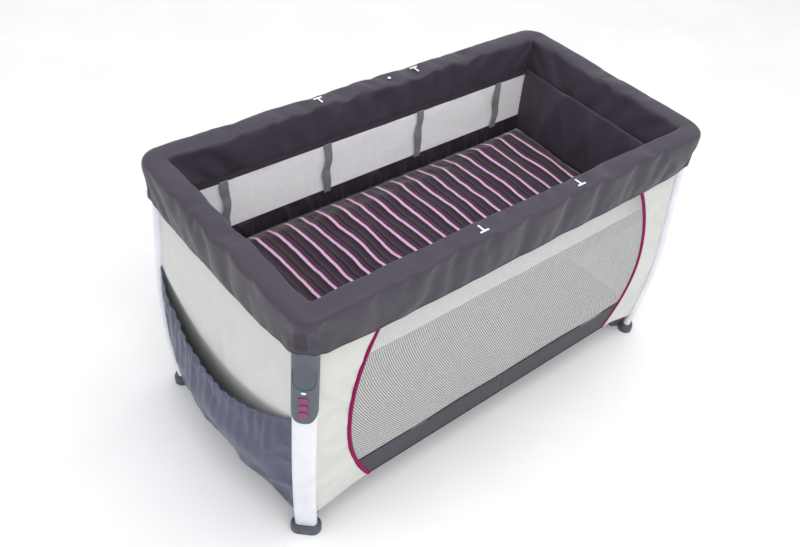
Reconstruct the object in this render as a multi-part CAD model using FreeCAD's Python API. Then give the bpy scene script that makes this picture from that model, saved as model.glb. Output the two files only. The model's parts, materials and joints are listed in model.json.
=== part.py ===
"""Travel play yard: folding frame on a centre hub, fabric sides, raised bassinet insert and mattress.

Every dimension is in millimetres. X runs along the long side, Y across, Z up. The origin is on the
floor under the centre hub. The side at -Y is the front, and the end at -X, with the pocket, is the left.
The frame is built for the corner at +X +Y and mirrored to the other three.
"""
import FreeCAD, Part
import os
from math import atan2, cos, degrees, hypot, radians, sin, sqrt

# Overall size
HALF_LENGTH = 635.0
HALF_WIDTH = 333.0
HEIGHT = 740.0

# Corner legs: a flattened oval tube, its wide face turned to the diagonal, bowed outwards
LEG_X = 600.0
LEG_Y = 298.0
LEG_WIDTH = 54.0
LEG_THICK = 22.0
LEG_WALL = 1.4
LEG_TOP = 690.0
LEG_KNEE = 400.0
LEG_BOW = 20.0

# Feet, and the moulded brackets on top of the legs
FOOT_HEIGHT = 25.0
FOOT_LENGTH = 75.0
FOOT_WIDTH = 42.0
FOOT_RIM_RADIUS = 8.0
FOOT_PLUG_BOTTOM = 17.0
FOOT_PLUG_TOP = 60.0
FOOT_EAR_ROOT = 12.0
FOOT_WEB_HALF = 7.0
FOOT_WEB_BOTTOM = 8.0
BRACKET_INSIDE = 17.0
BRACKET_OUTSIDE = 14.0
BRACKET_HEIGHT = 27.0
BRACKET_RADIUS = 8.0
BRACKET_PLUG_DEPTH = 40.0
BRACKET_PLUG_LAP = 4.0

# Linkage: pivots are placed so that arms, rails and latches all turn by one angle
HUB_PIVOT = 95.0
FOOT_PIVOT = 65.0
RAIL_PIVOT = 55.0
ARM_LEVEL = 45.0
RAIL_LEVEL = 702.0
DIAGONAL = hypot(LEG_X, LEG_Y)
DIAGONAL_ANGLE = degrees(atan2(LEG_Y, LEG_X))
ARM_LENGTH = DIAGONAL - HUB_PIVOT - FOOT_PIVOT
LONG_RAIL_LENGTH = ARM_LENGTH * LEG_X / DIAGONAL
SHORT_RAIL_LENGTH = ARM_LENGTH * LEG_Y / DIAGONAL
LONG_LATCH_PIVOT = LEG_X - RAIL_PIVOT - LONG_RAIL_LENGTH
SHORT_LATCH_PIVOT = LEG_Y - RAIL_PIVOT - SHORT_RAIL_LENGTH

# Joints: a flat tongue between two ears on a riveted pin
PIN_RADIUS = 3.0
PIN_CLEARANCE = 0.05
OPEN_PIVOT_CLEARANCE = 0.3
TONGUE_THICK = 8.0
TONGUE_RADIUS = 8.8
TONGUE_LENGTH = 20.0
PLUG_LENGTH = 18.0
EAR_GAP = 8.6
EAR_THICK = 3.0
EAR_RADIUS = 9.0
EAR_ROOT = 11.0
RIVET_HEAD_RADIUS = 4.5
RIVET_HEAD_THICK = 1.2
HOLE_OVERRUN = 1.0

# Tubes
ARM_RADIUS = 8.0
RAIL_RADIUS = 11.0
TUBE_WALL = 1.2

# Centre hub
HUB_RADIUS = 60.0
HUB_TOP = 62.0
HUB_BOTTOM = 28.0
HUB_FOOT_RADIUS = 32.0
HUB_FOOT_FLARE = 8.0
STRAP_WIDTH = 25.0
STRAP_THICK = 2.5
STRAP_TOP = 135.0
STRAP_SPAN = 60.0
STRAP_SLOT_GAP = 5.0

# Centre latches
LATCH_WIDTH = 28.0
LATCH_HEIGHT = 28.0
LATCH_SKIRT = 4.0
LATCH_LAP = 2.0
LATCH_BOTTOM = -LATCH_HEIGHT / 2 - LATCH_SKIRT
BUTTON_LENGTH = 8.0
BUTTON_WIDTH = 18.0
BUTTON_HEIGHT = 10.0
BUTTON_TRAVEL = 4.0
BUTTON_EDGE_RADIUS = 1.5
SLIDING_GAP = 0.4

# Padded rail cover: an inverted channel right round the top
COVER_BOTTOM = 616.0
COVER_WIDTH = 58.0
COVER_SIDE_THICK = 5.0
COVER_TOP_THICK = 8.0
COVER_CORNER_RADIUS = 45.0
COVER_INNER_RADIUS = 6.0
COVER_EDGE_RADIUS = 13.0
MITRE_PAST_INSIDE = 20.0
MITRE_PAST_OUTSIDE = 10.0
SPLIT_GAP = 0.3

# Fabric sides, floor, pocket
WALL_OFFSET = 9.0 + sqrt(2.0)
WALL_THICK = 1.6
WALL_TOP = 660.0
WALL_LEG_GAP = 0.7
HEM_LEVEL = 65.0
FLOOR_LEVEL = 84.0
FLOOR_THICK = 2.0
FLOOR_MARGIN = 6.0
FLOOR_CORNER_CUT = 60.0
POCKET_BELLY = 66.0
POCKET_THICK = 2.0
POCKET_HALF_WIDTH = 272.0
POCKET_BOTTOM = 72.0
POCKET_SIDE_TOP = 428.0
POCKET_MIDDLE_TOP = 320.0
POCKET_TUCK_DEPTH = 0.78
POCKET_TUCK_LEVEL = 0.28

# Bassinet insert and mattress
LINER_GAP = 2.5
LINER_THICK = 2.0
LINER_FLOOR_LEVEL = 425.0
LINER_FLOOR_THICK = 3.0
LINER_TOP = 626.0
MATTRESS_THICK = 24.0
MATTRESS_GAP = 3.0
MATTRESS_CORNER_RADIUS = 18.0

# T-shaped toggles on top of the long rails
TOGGLE_X = 156.0
TOGGLE_LENGTH = 24.0
TOGGLE_BAR = 4.0
TOGGLE_THICK = 2.0

# Electronic module on the front left leg
MODULE_WIDTH = 58.0
MODULE_THICK = 34.0
MODULE_TOP = 640.0
MODULE_BOTTOM = 441.0
MODULE_LEG_GAP = 0.05
MODULE_BACK_THICK = 1.0
SPEAKER_LEVEL = 573.0
SPEAKER_WIDTH = 48.0
SPEAKER_HEIGHT = 70.0
LAMP_LEVEL = 531.0
LAMP_WIDTH = 11.0
LAMP_HEIGHT = 6.4
LAMP_PROUD = 1.0
MODULE_BUTTON_LEVELS = {"upper": 510.0, "middle": 489.0, "lower": 468.0}
MODULE_BUTTON_WIDTH = 22.0
MODULE_BUTTON_HEIGHT = 15.5
MODULE_BUTTON_PROUD = 2.0
MODULE_BUTTON_FREE = 2.4
MODULE_BUTTON_EDGE = 1.2
INSET_DEPTH = 2.0

# Working allowances: room that outreaches any part, and how near a chosen edge must lie
ROOM = 300.0
NEAR = 1.0
UPRIGHT = 0.9

CORNERS = {
    "front_left": (-1, -1),
    "front_right": (1, -1),
    "back_left": (-1, 1),
    "back_right": (1, 1),
}
Z_AXIS = FreeCAD.Vector(0, 0, 1)
ORIGIN = FreeCAD.Vector(0, 0, 0)


def vec(x, y, z):
    return FreeCAD.Vector(x, y, z)


def block(x_range, y_range, z_range):
    """An axis-aligned box from its three ranges."""
    sizes = [high - low for low, high in (x_range, y_range, z_range)]
    return Part.makeBox(*sizes, vec(x_range[0], y_range[0], z_range[0]))


def rod(radius, start, end):
    """A round bar between two points."""
    along = end - start
    return Part.makeCylinder(radius, along.Length, start, along)


def joined(*shapes):
    return shapes[0].multiFuse(list(shapes[1:])).removeSplitter()


def prism(points, direction):
    """A polygon through the points, extruded along direction."""
    return Part.Face(Part.makePolygon([*points, points[0]])).extrude(direction)


def uprights(shape):
    return [e for e in shape.Edges if abs(e.tangentAt(e.FirstParameter).z) > UPRIGHT]


def rounded_slab(half_x, half_y, z_range, radius):
    """A plate centred on the Z axis with rounded vertical edges."""
    plate = block((-half_x, half_x), (-half_y, half_y), z_range)
    return plate.makeFillet(radius, uprights(plate))


def oval(width, thick, centre, across, through):
    """A flattened oval outline: two straight flanks and two half-round ends."""
    radius = thick / 2
    flat = width / 2 - radius
    a, b = across * flat, through * radius
    tip = across * (flat + radius)
    edges = [
        Part.LineSegment(centre - a + b, centre + a + b).toShape(),
        Part.Arc(centre + a + b, centre + tip, centre + a - b).toShape(),
        Part.LineSegment(centre + a - b, centre - a - b).toShape(),
        Part.Arc(centre - a - b, centre - tip, centre - a + b).toShape(),
    ]
    return Part.Wire(edges)


def mirrored(shape, corner):
    """A shape made at the +X +Y corner, moved to the named corner."""
    sign_x, sign_y = CORNERS[corner]
    if sign_x < 0:
        shape = shape.mirror(ORIGIN, vec(1, 0, 0))
    if sign_y < 0:
        shape = shape.mirror(ORIGIN, vec(0, 1, 0))
    return shape


def export(node, *shapes):
    shape = shapes[0] if len(shapes) == 1 else Part.makeCompound(list(shapes))
    if not shape.isValid():
        raise ValueError(f"{node} is not a valid shape")
    shape.exportStep(f"parts/{node}.step")


# The leg's line: straight from the top to the knee, then an arc that curves in to the foot
KNEE_SLOPE = LEG_BOW / (LEG_TOP - LEG_KNEE)
KNEE_ANGLE = atan2(LEG_BOW, LEG_TOP - LEG_KNEE)
KNEE_RISE = LEG_KNEE - FOOT_HEIGHT
BOW_RADIUS = (LEG_BOW**2 + KNEE_RISE**2) / (2 * (LEG_BOW * cos(KNEE_ANGLE) + KNEE_RISE * sin(KNEE_ANGLE)))
BOW_CENTRE_OUT = LEG_BOW - BOW_RADIUS * cos(KNEE_ANGLE)
BOW_CENTRE_LEVEL = LEG_KNEE - BOW_RADIUS * sin(KNEE_ANGLE)


def bow(level):
    """How far the leg's centre line stands out along the diagonal at a level."""
    if level >= LEG_KNEE:
        return KNEE_SLOPE * (LEG_TOP - level)
    return BOW_CENTRE_OUT + sqrt(BOW_RADIUS**2 - (level - BOW_CENTRE_LEVEL) ** 2)


def at_leg(shape):
    """From the leg's own frame, with X outwards, to the +X +Y corner."""
    shape = shape.copy()
    shape.rotate(ORIGIN, Z_AXIS, 45)
    shape.translate(vec(LEG_X, LEG_Y, 0))
    return shape


def leg_solid(width, thick):
    """The oval section swept along the leg's line, in the leg's own frame."""
    middle = (LEG_KNEE + FOOT_HEIGHT) / 2
    spine = [
        Part.LineSegment(vec(0, 0, LEG_TOP), vec(LEG_BOW, 0, LEG_KNEE)).toShape(),
        Part.Arc(
            vec(LEG_BOW, 0, LEG_KNEE),
            vec(bow(middle), 0, middle),
            vec(bow(FOOT_HEIGHT), 0, FOOT_HEIGHT),
        ).toShape(),
    ]
    through = vec(cos(KNEE_ANGLE), 0, sin(KNEE_ANGLE))
    outline = oval(width, thick, vec(0, 0, LEG_TOP), vec(0, 1, 0), through)
    return Part.Wire(spine).makePipeShell([outline], True, True)


LEG_OUTSIDE = leg_solid(LEG_WIDTH, LEG_THICK)
LEG_INSIDE = leg_solid(LEG_WIDTH - 2 * LEG_WALL, LEG_THICK - 2 * LEG_WALL)


def leg_profile():
    return at_leg(LEG_OUTSIDE.cut(LEG_INSIDE))


def clevis(pivot, root):
    """Two ears round a gap, along +X, with the pin hole at the pivot. Returns (ears, pin)."""
    half_gap = EAR_GAP / 2
    outer = half_gap + EAR_THICK
    height = (-EAR_RADIUS, EAR_RADIUS)
    web = block((root, pivot - EAR_ROOT), (-outer, outer), height)
    ears = [web]
    for side in (-1, 1):
        faces = sorted((side * half_gap, side * outer))
        plate = block((pivot - EAR_ROOT, pivot), faces, height)
        end = rod(EAR_RADIUS, vec(pivot, faces[0], 0), vec(pivot, faces[1], 0))
        ears += [plate, end]
    pin = rod(PIN_RADIUS, vec(pivot, -outer, 0), vec(pivot, outer, 0))
    head_face = outer + RIVET_HEAD_THICK
    heads = []
    for side in (-1, 1):
        heads.append(rod(RIVET_HEAD_RADIUS, vec(pivot, side * outer, 0), vec(pivot, side * head_face, 0)))
    return joined(*ears).cut(pin), joined(pin, *heads)


def link(length, radius, start_clearance, end_clearance):
    """A tube along +X between two pivots, closed by flat tongues with pin holes."""
    solid = []
    holes = []
    half = TONGUE_THICK / 2
    through = half + HOLE_OVERRUN
    for pivot, inward, clearance in ((0, 1, start_clearance), (length, -1, end_clearance)):
        shoulder = pivot + inward * TONGUE_LENGTH
        plug_end = shoulder + inward * PLUG_LENGTH
        reach = min(TONGUE_RADIUS, radius - TUBE_WALL / 2)
        solid.append(block(sorted((pivot, shoulder)), (-half, half), (-reach, reach)))
        solid.append(rod(reach, vec(pivot, -half, 0), vec(pivot, half, 0)))
        solid.append(rod(radius - TUBE_WALL / 2, vec(shoulder, 0, 0), vec(plug_end, 0, 0)))
        holes.append(rod(PIN_RADIUS + clearance, vec(pivot, -through, 0), vec(pivot, through, 0)))
    start, end = vec(TONGUE_LENGTH, 0, 0), vec(length - TONGUE_LENGTH, 0, 0)
    tube = rod(radius, start, end).cut(rod(radius - TUBE_WALL, start, end))
    return joined(tube, *solid).cut(Part.makeCompound(holes))


def moved(shape, angle, place):
    """Turned about Z, then put in place."""
    shape = shape.copy()
    shape.rotate(ORIGIN, Z_AXIS, angle)
    shape.translate(place)
    return shape


def floor_arm():
    arm = link(ARM_LENGTH, ARM_RADIUS, PIN_CLEARANCE, PIN_CLEARANCE)
    angle = radians(DIAGONAL_ANGLE)
    return moved(arm, DIAGONAL_ANGLE, vec(HUB_PIVOT * cos(angle), HUB_PIVOT * sin(angle), ARM_LEVEL))


def hub():
    """The moulded hub with its four clevises and centre foot, and the four pins."""
    body = [
        rod(HUB_RADIUS, vec(0, 0, HUB_BOTTOM), vec(0, 0, HUB_TOP)),
        Part.makeCone(HUB_FOOT_RADIUS, HUB_FOOT_RADIUS + HUB_FOOT_FLARE, HUB_BOTTOM),
    ]
    pins = []
    ears, pin = clevis(HUB_PIVOT, HUB_RADIUS / 2)
    for corner in CORNERS:
        body.append(mirrored(moved(ears, DIAGONAL_ANGLE, vec(0, 0, ARM_LEVEL)), corner))
        pins.append(mirrored(moved(pin, DIAGONAL_ANGLE, vec(0, 0, ARM_LEVEL)), corner))
    return joined(*body), pins


def strap_form(half, top, radius):
    """An upright block over the hub, rounded at its two top corners."""
    form = block((-half, half), (-STRAP_WIDTH / 2, STRAP_WIDTH / 2), (HUB_TOP, top))
    corners = [e for e in form.Edges if e.BoundBox.ZMin > top - NEAR and e.BoundBox.XLength < NEAR]
    return form.makeFillet(radius, corners)


def pull_strap():
    """A webbing loop that stands up from the hub through the floor."""
    half = STRAP_SPAN / 2
    inside = strap_form(half - STRAP_THICK, STRAP_TOP - STRAP_THICK, half / 2 - STRAP_THICK)
    return strap_form(half, STRAP_TOP, half / 2).cut(inside)


def floor_panel():
    """The fabric floor above the arms, cut back round the legs, with a slot for the strap."""
    half_x, half_y = LEG_X + FLOOR_MARGIN, LEG_Y + FLOOR_MARGIN
    outline = []
    for sign_x, sign_y in ((1, 1), (-1, 1), (-1, -1), (1, -1)):
        ends = [(half_x, half_y - FLOOR_CORNER_CUT), (half_x - FLOOR_CORNER_CUT, half_y)]
        if sign_x * sign_y < 0:
            ends.reverse()
        outline += [vec(sign_x * x, sign_y * y, FLOOR_LEVEL) for x, y in ends]
    slot_x, slot_y = STRAP_SPAN / 2 + STRAP_SLOT_GAP, STRAP_WIDTH / 2 + STRAP_SLOT_GAP
    slot = block((-slot_x, slot_x), (-slot_y, slot_y), (FLOOR_LEVEL, FLOOR_LEVEL + FLOOR_THICK))
    return prism(outline, vec(0, 0, FLOOR_THICK)).cut(slot)


def foot():
    """A moulded oval foot with its plug in the leg and a clevis towards the hub, and the rivet."""
    sole = oval(FOOT_LENGTH, FOOT_WIDTH, ORIGIN, vec(0, 1, 0), vec(1, 0, 0))
    pad = Part.Face(sole).extrude(vec(0, 0, FOOT_HEIGHT))
    rim = [e for e in pad.Edges if e.BoundBox.ZMin > FOOT_HEIGHT - NEAR]
    pad = pad.makeFillet(FOOT_RIM_RADIUS, rim)
    plug = LEG_INSIDE.common(block((-ROOM, ROOM), (-ROOM, ROOM), (FOOT_PLUG_BOTTOM, FOOT_PLUG_TOP)))
    ears, pin = clevis(FOOT_PIVOT, FOOT_EAR_ROOT)
    web_width = (-FOOT_WEB_HALF, FOOT_WEB_HALF)
    web = block((FOOT_EAR_ROOT, FOOT_PIVOT - EAR_ROOT), web_width, (FOOT_WEB_BOTTOM - ARM_LEVEL, 0))
    towards_hub = DIAGONAL_ANGLE + 180
    corner = vec(LEG_X, LEG_Y, ARM_LEVEL)
    bracket = moved(joined(ears, web), towards_hub, corner).cut(at_leg(LEG_OUTSIDE))
    solid = joined(at_leg(pad.cut(LEG_OUTSIDE.cut(LEG_INSIDE))), at_leg(plug), bracket)
    return [solid, moved(pin, towards_hub, corner)]


def corner_bracket():
    """The moulded cap on a leg with a plug in the tube and one clevis for each rail."""
    x_range, y_range = [(place - BRACKET_INSIDE, place + BRACKET_OUTSIDE) for place in (LEG_X, LEG_Y)]
    core = block(x_range, y_range, (LEG_TOP, LEG_TOP + BRACKET_HEIGHT))
    core = core.makeFillet(BRACKET_RADIUS, uprights(core))
    plug_levels = (LEG_TOP - BRACKET_PLUG_DEPTH, LEG_TOP + BRACKET_PLUG_LAP)
    plug = at_leg(LEG_INSIDE.common(block((-ROOM, ROOM), (-ROOM, ROOM), plug_levels)))
    ears, pin = clevis(RAIL_PIVOT, EAR_RADIUS)
    corner = vec(LEG_X, LEG_Y, RAIL_LEVEL)
    solid = [core, plug]
    rivets = []
    for angle in (180, 270):
        solid.append(moved(ears, angle, corner))
        rivets.append(moved(pin, angle, corner))
    bracket = joined(*solid).cut(at_leg(LEG_OUTSIDE.cut(LEG_INSIDE)))
    return [bracket, *rivets]


def long_rail(latch_clearance):
    rail = link(LONG_RAIL_LENGTH, RAIL_RADIUS, latch_clearance, PIN_CLEARANCE)
    return moved(rail, 0, vec(LONG_LATCH_PIVOT, LEG_Y, RAIL_LEVEL))


def short_rail(latch_clearance):
    rail = link(SHORT_RAIL_LENGTH, RAIL_RADIUS, latch_clearance, PIN_CLEARANCE)
    return moved(rail, 90, vec(LEG_X, SHORT_LATCH_PIVOT, RAIL_LEVEL))


def latch(pivot):
    """A centre latch along X with a clevis at each end and a socket below for its button."""
    body_half = pivot - EAR_ROOT + LATCH_LAP
    half_width = LATCH_WIDTH / 2
    body = block((-body_half, body_half), (-half_width, half_width), (LATCH_BOTTOM, LATCH_HEIGHT / 2))
    reach = (-LATCH_HEIGHT, LATCH_HEIGHT)
    room_for_rails = [
        block(sorted((side * (pivot - EAR_ROOT), side * pivot)), (-half_width, half_width), reach)
        for side in (-1, 1)
    ]
    body = body.cut(Part.makeCompound(room_for_rails))
    ears, pin = clevis(pivot, 0)
    other_ears, other_pin = moved(ears, 180, ORIGIN), moved(pin, 180, ORIGIN)
    socket_levels = (LATCH_BOTTOM, LATCH_BOTTOM + BUTTON_HEIGHT + SLIDING_GAP)
    half_x, half_y = BUTTON_LENGTH / 2 + SLIDING_GAP, BUTTON_WIDTH / 2 + SLIDING_GAP
    socket = block((-half_x, half_x), (-half_y, half_y), socket_levels)
    return joined(body, ears, other_ears).cut(socket), pin, other_pin


def latch_button():
    """The release button, standing out of the latch's underside by its travel."""
    bottom = LATCH_BOTTOM - BUTTON_TRAVEL
    half_x, half_y = BUTTON_LENGTH / 2, BUTTON_WIDTH / 2
    button = block((-half_x, half_x), (-half_y, half_y), (bottom, bottom + BUTTON_HEIGHT))
    rim = [e for e in button.Edges if e.BoundBox.ZMax < bottom + NEAR]
    return button.makeFillet(BUTTON_EDGE_RADIUS, rim)


def cover_ring():
    """The whole padded cover: a rounded channel, open below, with the rails inside it."""
    inner_x, inner_y = HALF_LENGTH - COVER_WIDTH, HALF_WIDTH - COVER_WIDTH
    levels = (COVER_BOTTOM, HEIGHT)
    outside = rounded_slab(HALF_LENGTH, HALF_WIDTH, levels, COVER_CORNER_RADIUS)
    ring = outside.cut(rounded_slab(inner_x, inner_y, levels, COVER_INNER_RADIUS))
    crown = [e for e in ring.Edges if e.BoundBox.ZMin > HEIGHT - NEAR]
    ring = ring.makeFillet(COVER_EDGE_RADIUS, crown)
    side = COVER_SIDE_THICK
    hollow_levels = (COVER_BOTTOM, HEIGHT - COVER_TOP_THICK)
    hollow = rounded_slab(HALF_LENGTH - side, HALF_WIDTH - side, hollow_levels, COVER_CORNER_RADIUS - side)
    core = rounded_slab(inner_x + side, inner_y + side, hollow_levels, COVER_INNER_RADIUS + side)
    return ring.cut(hollow.cut(core))


def cover_halves():
    """The long and the short half of the cover that meet in a mitre at the +X +Y corner."""
    inner_x, inner_y = HALF_LENGTH - COVER_WIDTH, HALF_WIDTH - COVER_WIDTH
    past = COVER_WIDTH + MITRE_PAST_OUTSIDE
    short_x, short_y = inner_x - MITRE_PAST_INSIDE, inner_y - MITRE_PAST_INSIDE
    up = vec(0, 0, HEIGHT)
    gap = SPLIT_GAP / 2
    long_region = [(gap, short_y), (short_x - gap, short_y)]
    long_region += [(inner_x + past - gap, inner_y + past), (gap, inner_y + past)]
    short_region = [(short_x, gap), (inner_x + past, gap)]
    short_region += [(inner_x + past, inner_y + past - gap), (short_x, short_y - gap)]
    ring = cover_ring()
    halves = []
    for region in (long_region, short_region):
        halves.append(ring.common(prism([vec(x, y, 0) for x, y in region], up)))
    return halves


def wall_offset(level):
    """Distance of a fabric side outside the legs' centre plane at a level."""
    return WALL_OFFSET + bow(level) / sqrt(2)


def bowed_panel(start, end):
    """A sheet standing along X from start to end, bowed like the legs, its outside facing +Y."""
    middle = (LEG_KNEE + HEM_LEVEL) / 2
    inner = vec(0, -WALL_THICK, 0)
    top, knee, belly, hem = (
        vec(start, wall_offset(level), level) for level in (WALL_TOP, LEG_KNEE, middle, HEM_LEVEL)
    )
    edges = [
        Part.LineSegment(top, knee),
        Part.Arc(knee, belly, hem),
        Part.LineSegment(hem, hem + inner),
        Part.Arc(hem + inner, belly + inner, knee + inner),
        Part.LineSegment(knee + inner, top + inner),
        Part.LineSegment(top + inner, top),
    ]
    face = Part.Face(Part.Wire([edge.toShape() for edge in edges]))
    return face.extrude(vec(end - start, 0, 0))


def wall_panels():
    """Half of a long side and half of an end, which meet at the +X +Y leg."""
    side_reach = LEG_WIDTH / 2 - LEG_THICK / 2
    leg_edge = side_reach / sqrt(2) + LEG_THICK / 2 + WALL_LEG_GAP
    long_half = moved(bowed_panel(SPLIT_GAP, LEG_X - leg_edge), 0, vec(0, LEG_Y, 0))
    end_half = bowed_panel(SPLIT_GAP, LEG_Y - leg_edge).mirror(ORIGIN, vec(1, -1, 0))
    return [long_half, moved(end_half, 0, vec(LEG_X, 0, 0))]


def side_pocket():
    """The bellied pocket on the left end, open at the top, where its edge sags between the legs."""
    seam = LEG_X + wall_offset(BOW_CENTRE_LEVEL) + SPLIT_GAP

    def belly(thin):
        """The pocket's outer form taken in by thin: round in plan, and tucked in below."""
        depth, half, bottom = POCKET_BELLY - thin, POCKET_HALF_WIDTH - thin, POCKET_BOTTOM + thin
        side_a, side_b = vec(-seam, -half, 0), vec(-seam, half, 0)
        plan = [Part.Arc(side_a, vec(-seam - depth, 0, 0), side_b), Part.LineSegment(side_b, side_a)]
        upright = Part.Face(Part.Wire([e.toShape() for e in plan])).extrude(vec(0, 0, POCKET_SIDE_TOP))
        low, high = vec(-seam, -ROOM, bottom), vec(-seam, -ROOM, POCKET_SIDE_TOP)
        outer = vec(-seam - depth - NEAR, -ROOM, POCKET_MIDDLE_TOP)
        outer_high = vec(-seam - depth - NEAR, -ROOM, POCKET_SIDE_TOP)
        bulge_level = bottom + POCKET_TUCK_LEVEL * (POCKET_MIDDLE_TOP - bottom)
        bulge = vec(-seam - POCKET_TUCK_DEPTH * depth, -ROOM, bulge_level)
        profile = [
            Part.Arc(low, bulge, outer),
            Part.LineSegment(outer, outer_high),
            Part.LineSegment(outer_high, high),
            Part.LineSegment(high, low),
        ]
        tuck = Part.Face(Part.Wire([e.toShape() for e in profile])).extrude(vec(0, 2 * ROOM, 0))
        return upright.common(tuck)

    clear = -seam - ROOM
    rim_a = vec(clear, -POCKET_HALF_WIDTH - NEAR, POCKET_SIDE_TOP)
    rim_b = vec(clear, POCKET_HALF_WIDTH + NEAR, POCKET_SIDE_TOP)
    rim = [Part.Arc(rim_a, vec(clear, 0, POCKET_MIDDLE_TOP), rim_b), Part.LineSegment(rim_b, rim_a)]
    mouth = Part.Face(Part.Wire([e.toShape() for e in rim])).extrude(vec(ROOM + NEAR, 0, 0))
    return belly(0).cut(belly(POCKET_THICK)).cut(mouth)


def bassinet_liner():
    """The insert's floor and four walls, each one flat sheet, hanging inside the rail cover."""
    half_x = HALF_LENGTH - COVER_WIDTH - LINER_GAP
    half_y = HALF_WIDTH - COVER_WIDTH - LINER_GAP
    floor_top = LINER_FLOOR_LEVEL + LINER_FLOOR_THICK
    levels = (floor_top, LINER_TOP)
    sheets = [block((-half_x, half_x), (-half_y, half_y), (LINER_FLOOR_LEVEL, floor_top))]
    for side in (-1, 1):
        long_wall = sorted((side * half_y, side * (half_y - LINER_THICK)))
        end_wall = sorted((side * half_x, side * (half_x - LINER_THICK)))
        inner_y = half_y - LINER_THICK
        sheets.append(block((-half_x, half_x), long_wall, levels))
        sheets.append(block(end_wall, (-inner_y, inner_y), levels))
    return sheets


def mattress():
    taken_in = COVER_WIDTH + LINER_GAP + LINER_THICK + MATTRESS_GAP
    bottom = LINER_FLOOR_LEVEL + LINER_FLOOR_THICK + SPLIT_GAP
    levels = (bottom, bottom + MATTRESS_THICK)
    return rounded_slab(HALF_LENGTH - taken_in, HALF_WIDTH - taken_in, levels, MATTRESS_CORNER_RADIUS)


def rail_toggle():
    """A flat T on top of the cover, its bar along the rail and its stem towards the inside."""
    middle = HALF_WIDTH - COVER_WIDTH / 2
    levels = (HEIGHT + SPLIT_GAP, HEIGHT + SPLIT_GAP + TOGGLE_THICK)
    half = TOGGLE_LENGTH / 2
    bar = block((TOGGLE_X - half, TOGGLE_X + half), (middle + half - TOGGLE_BAR, middle + half), levels)
    half_bar = TOGGLE_BAR / 2
    stem = block((TOGGLE_X - half_bar, TOGGLE_X + half_bar), (middle - half, middle + half), levels)
    return joined(bar, stem)


def on_module(width, height, level, bottom, top):
    """An oval bar square to the module's face, between two depths from the leg's centre line."""
    start = vec(bow(level) + bottom, 0, level)
    across, up = vec(0, 1, 0), Z_AXIS
    outline = oval(width, height, start, across, up)
    if height > width:
        outline = oval(height, width, start, up, across)
    return Part.Face(outline).extrude(vec(top - bottom, 0, 0))


def module():
    """The housing that wraps the leg's outer face, its grille and lens, and its three buttons."""
    face = MODULE_THICK / 2
    half = MODULE_WIDTH / 2
    middle = MODULE_BOTTOM + half
    low_a, low_b = vec(0, -half, middle), vec(0, half, middle)
    top_a, top_b = vec(0, -half, MODULE_TOP), vec(0, half, MODULE_TOP)
    outline = [
        Part.Arc(low_a, vec(0, 0, MODULE_BOTTOM), low_b),
        Part.LineSegment(low_b, top_b),
        Part.LineSegment(top_b, top_a),
        Part.LineSegment(top_a, low_a),
    ]
    front = Part.Face(Part.Wire([e.toShape() for e in outline])).extrude(vec(2 * MODULE_THICK, 0, 0))
    leg_room = leg_solid(LEG_WIDTH + 2 * MODULE_LEG_GAP, LEG_THICK + 2 * MODULE_LEG_GAP)
    housing = leg_solid(MODULE_WIDTH, MODULE_THICK).common(front).cut(leg_room)
    recess_floor = leg_solid(MODULE_WIDTH - 2 * INSET_DEPTH, MODULE_THICK - 2 * INSET_DEPTH)
    grille_face = leg_solid(MODULE_WIDTH - INSET_DEPTH, MODULE_THICK - INSET_DEPTH)
    speaker = (SPEAKER_WIDTH, SPEAKER_HEIGHT)
    speaker_room = [size + 2 * SLIDING_GAP for size in speaker]
    lamp = (LAMP_WIDTH, LAMP_HEIGHT, LAMP_LEVEL, face - INSET_DEPTH)
    recesses = [
        on_module(*speaker_room, SPEAKER_LEVEL, 0, MODULE_THICK).cut(recess_floor),
        on_module(*lamp, MODULE_THICK),
    ]
    inserts = [
        on_module(*speaker, SPEAKER_LEVEL, 0, MODULE_THICK).common(grille_face).cut(recess_floor),
        on_module(*lamp, face + LAMP_PROUD),
    ]
    back = LEG_THICK / 2 + MODULE_BACK_THICK
    key = (MODULE_BUTTON_WIDTH, MODULE_BUTTON_HEIGHT)
    key_room = [size + 2 * SLIDING_GAP for size in key]
    buttons = {}
    for name, level in MODULE_BUTTON_LEVELS.items():
        recesses.append(on_module(*key_room, level, back, MODULE_THICK))
        top = face + MODULE_BUTTON_PROUD
        button = on_module(*key, level, back + MODULE_BUTTON_FREE, top)
        rim = [e for e in button.Edges if e.BoundBox.XMin > bow(level) + top - NEAR]
        buttons[name] = button.makeFillet(MODULE_BUTTON_EDGE, rim)
    return housing.cut(Part.makeCompound(recesses)), inserts, buttons


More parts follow.
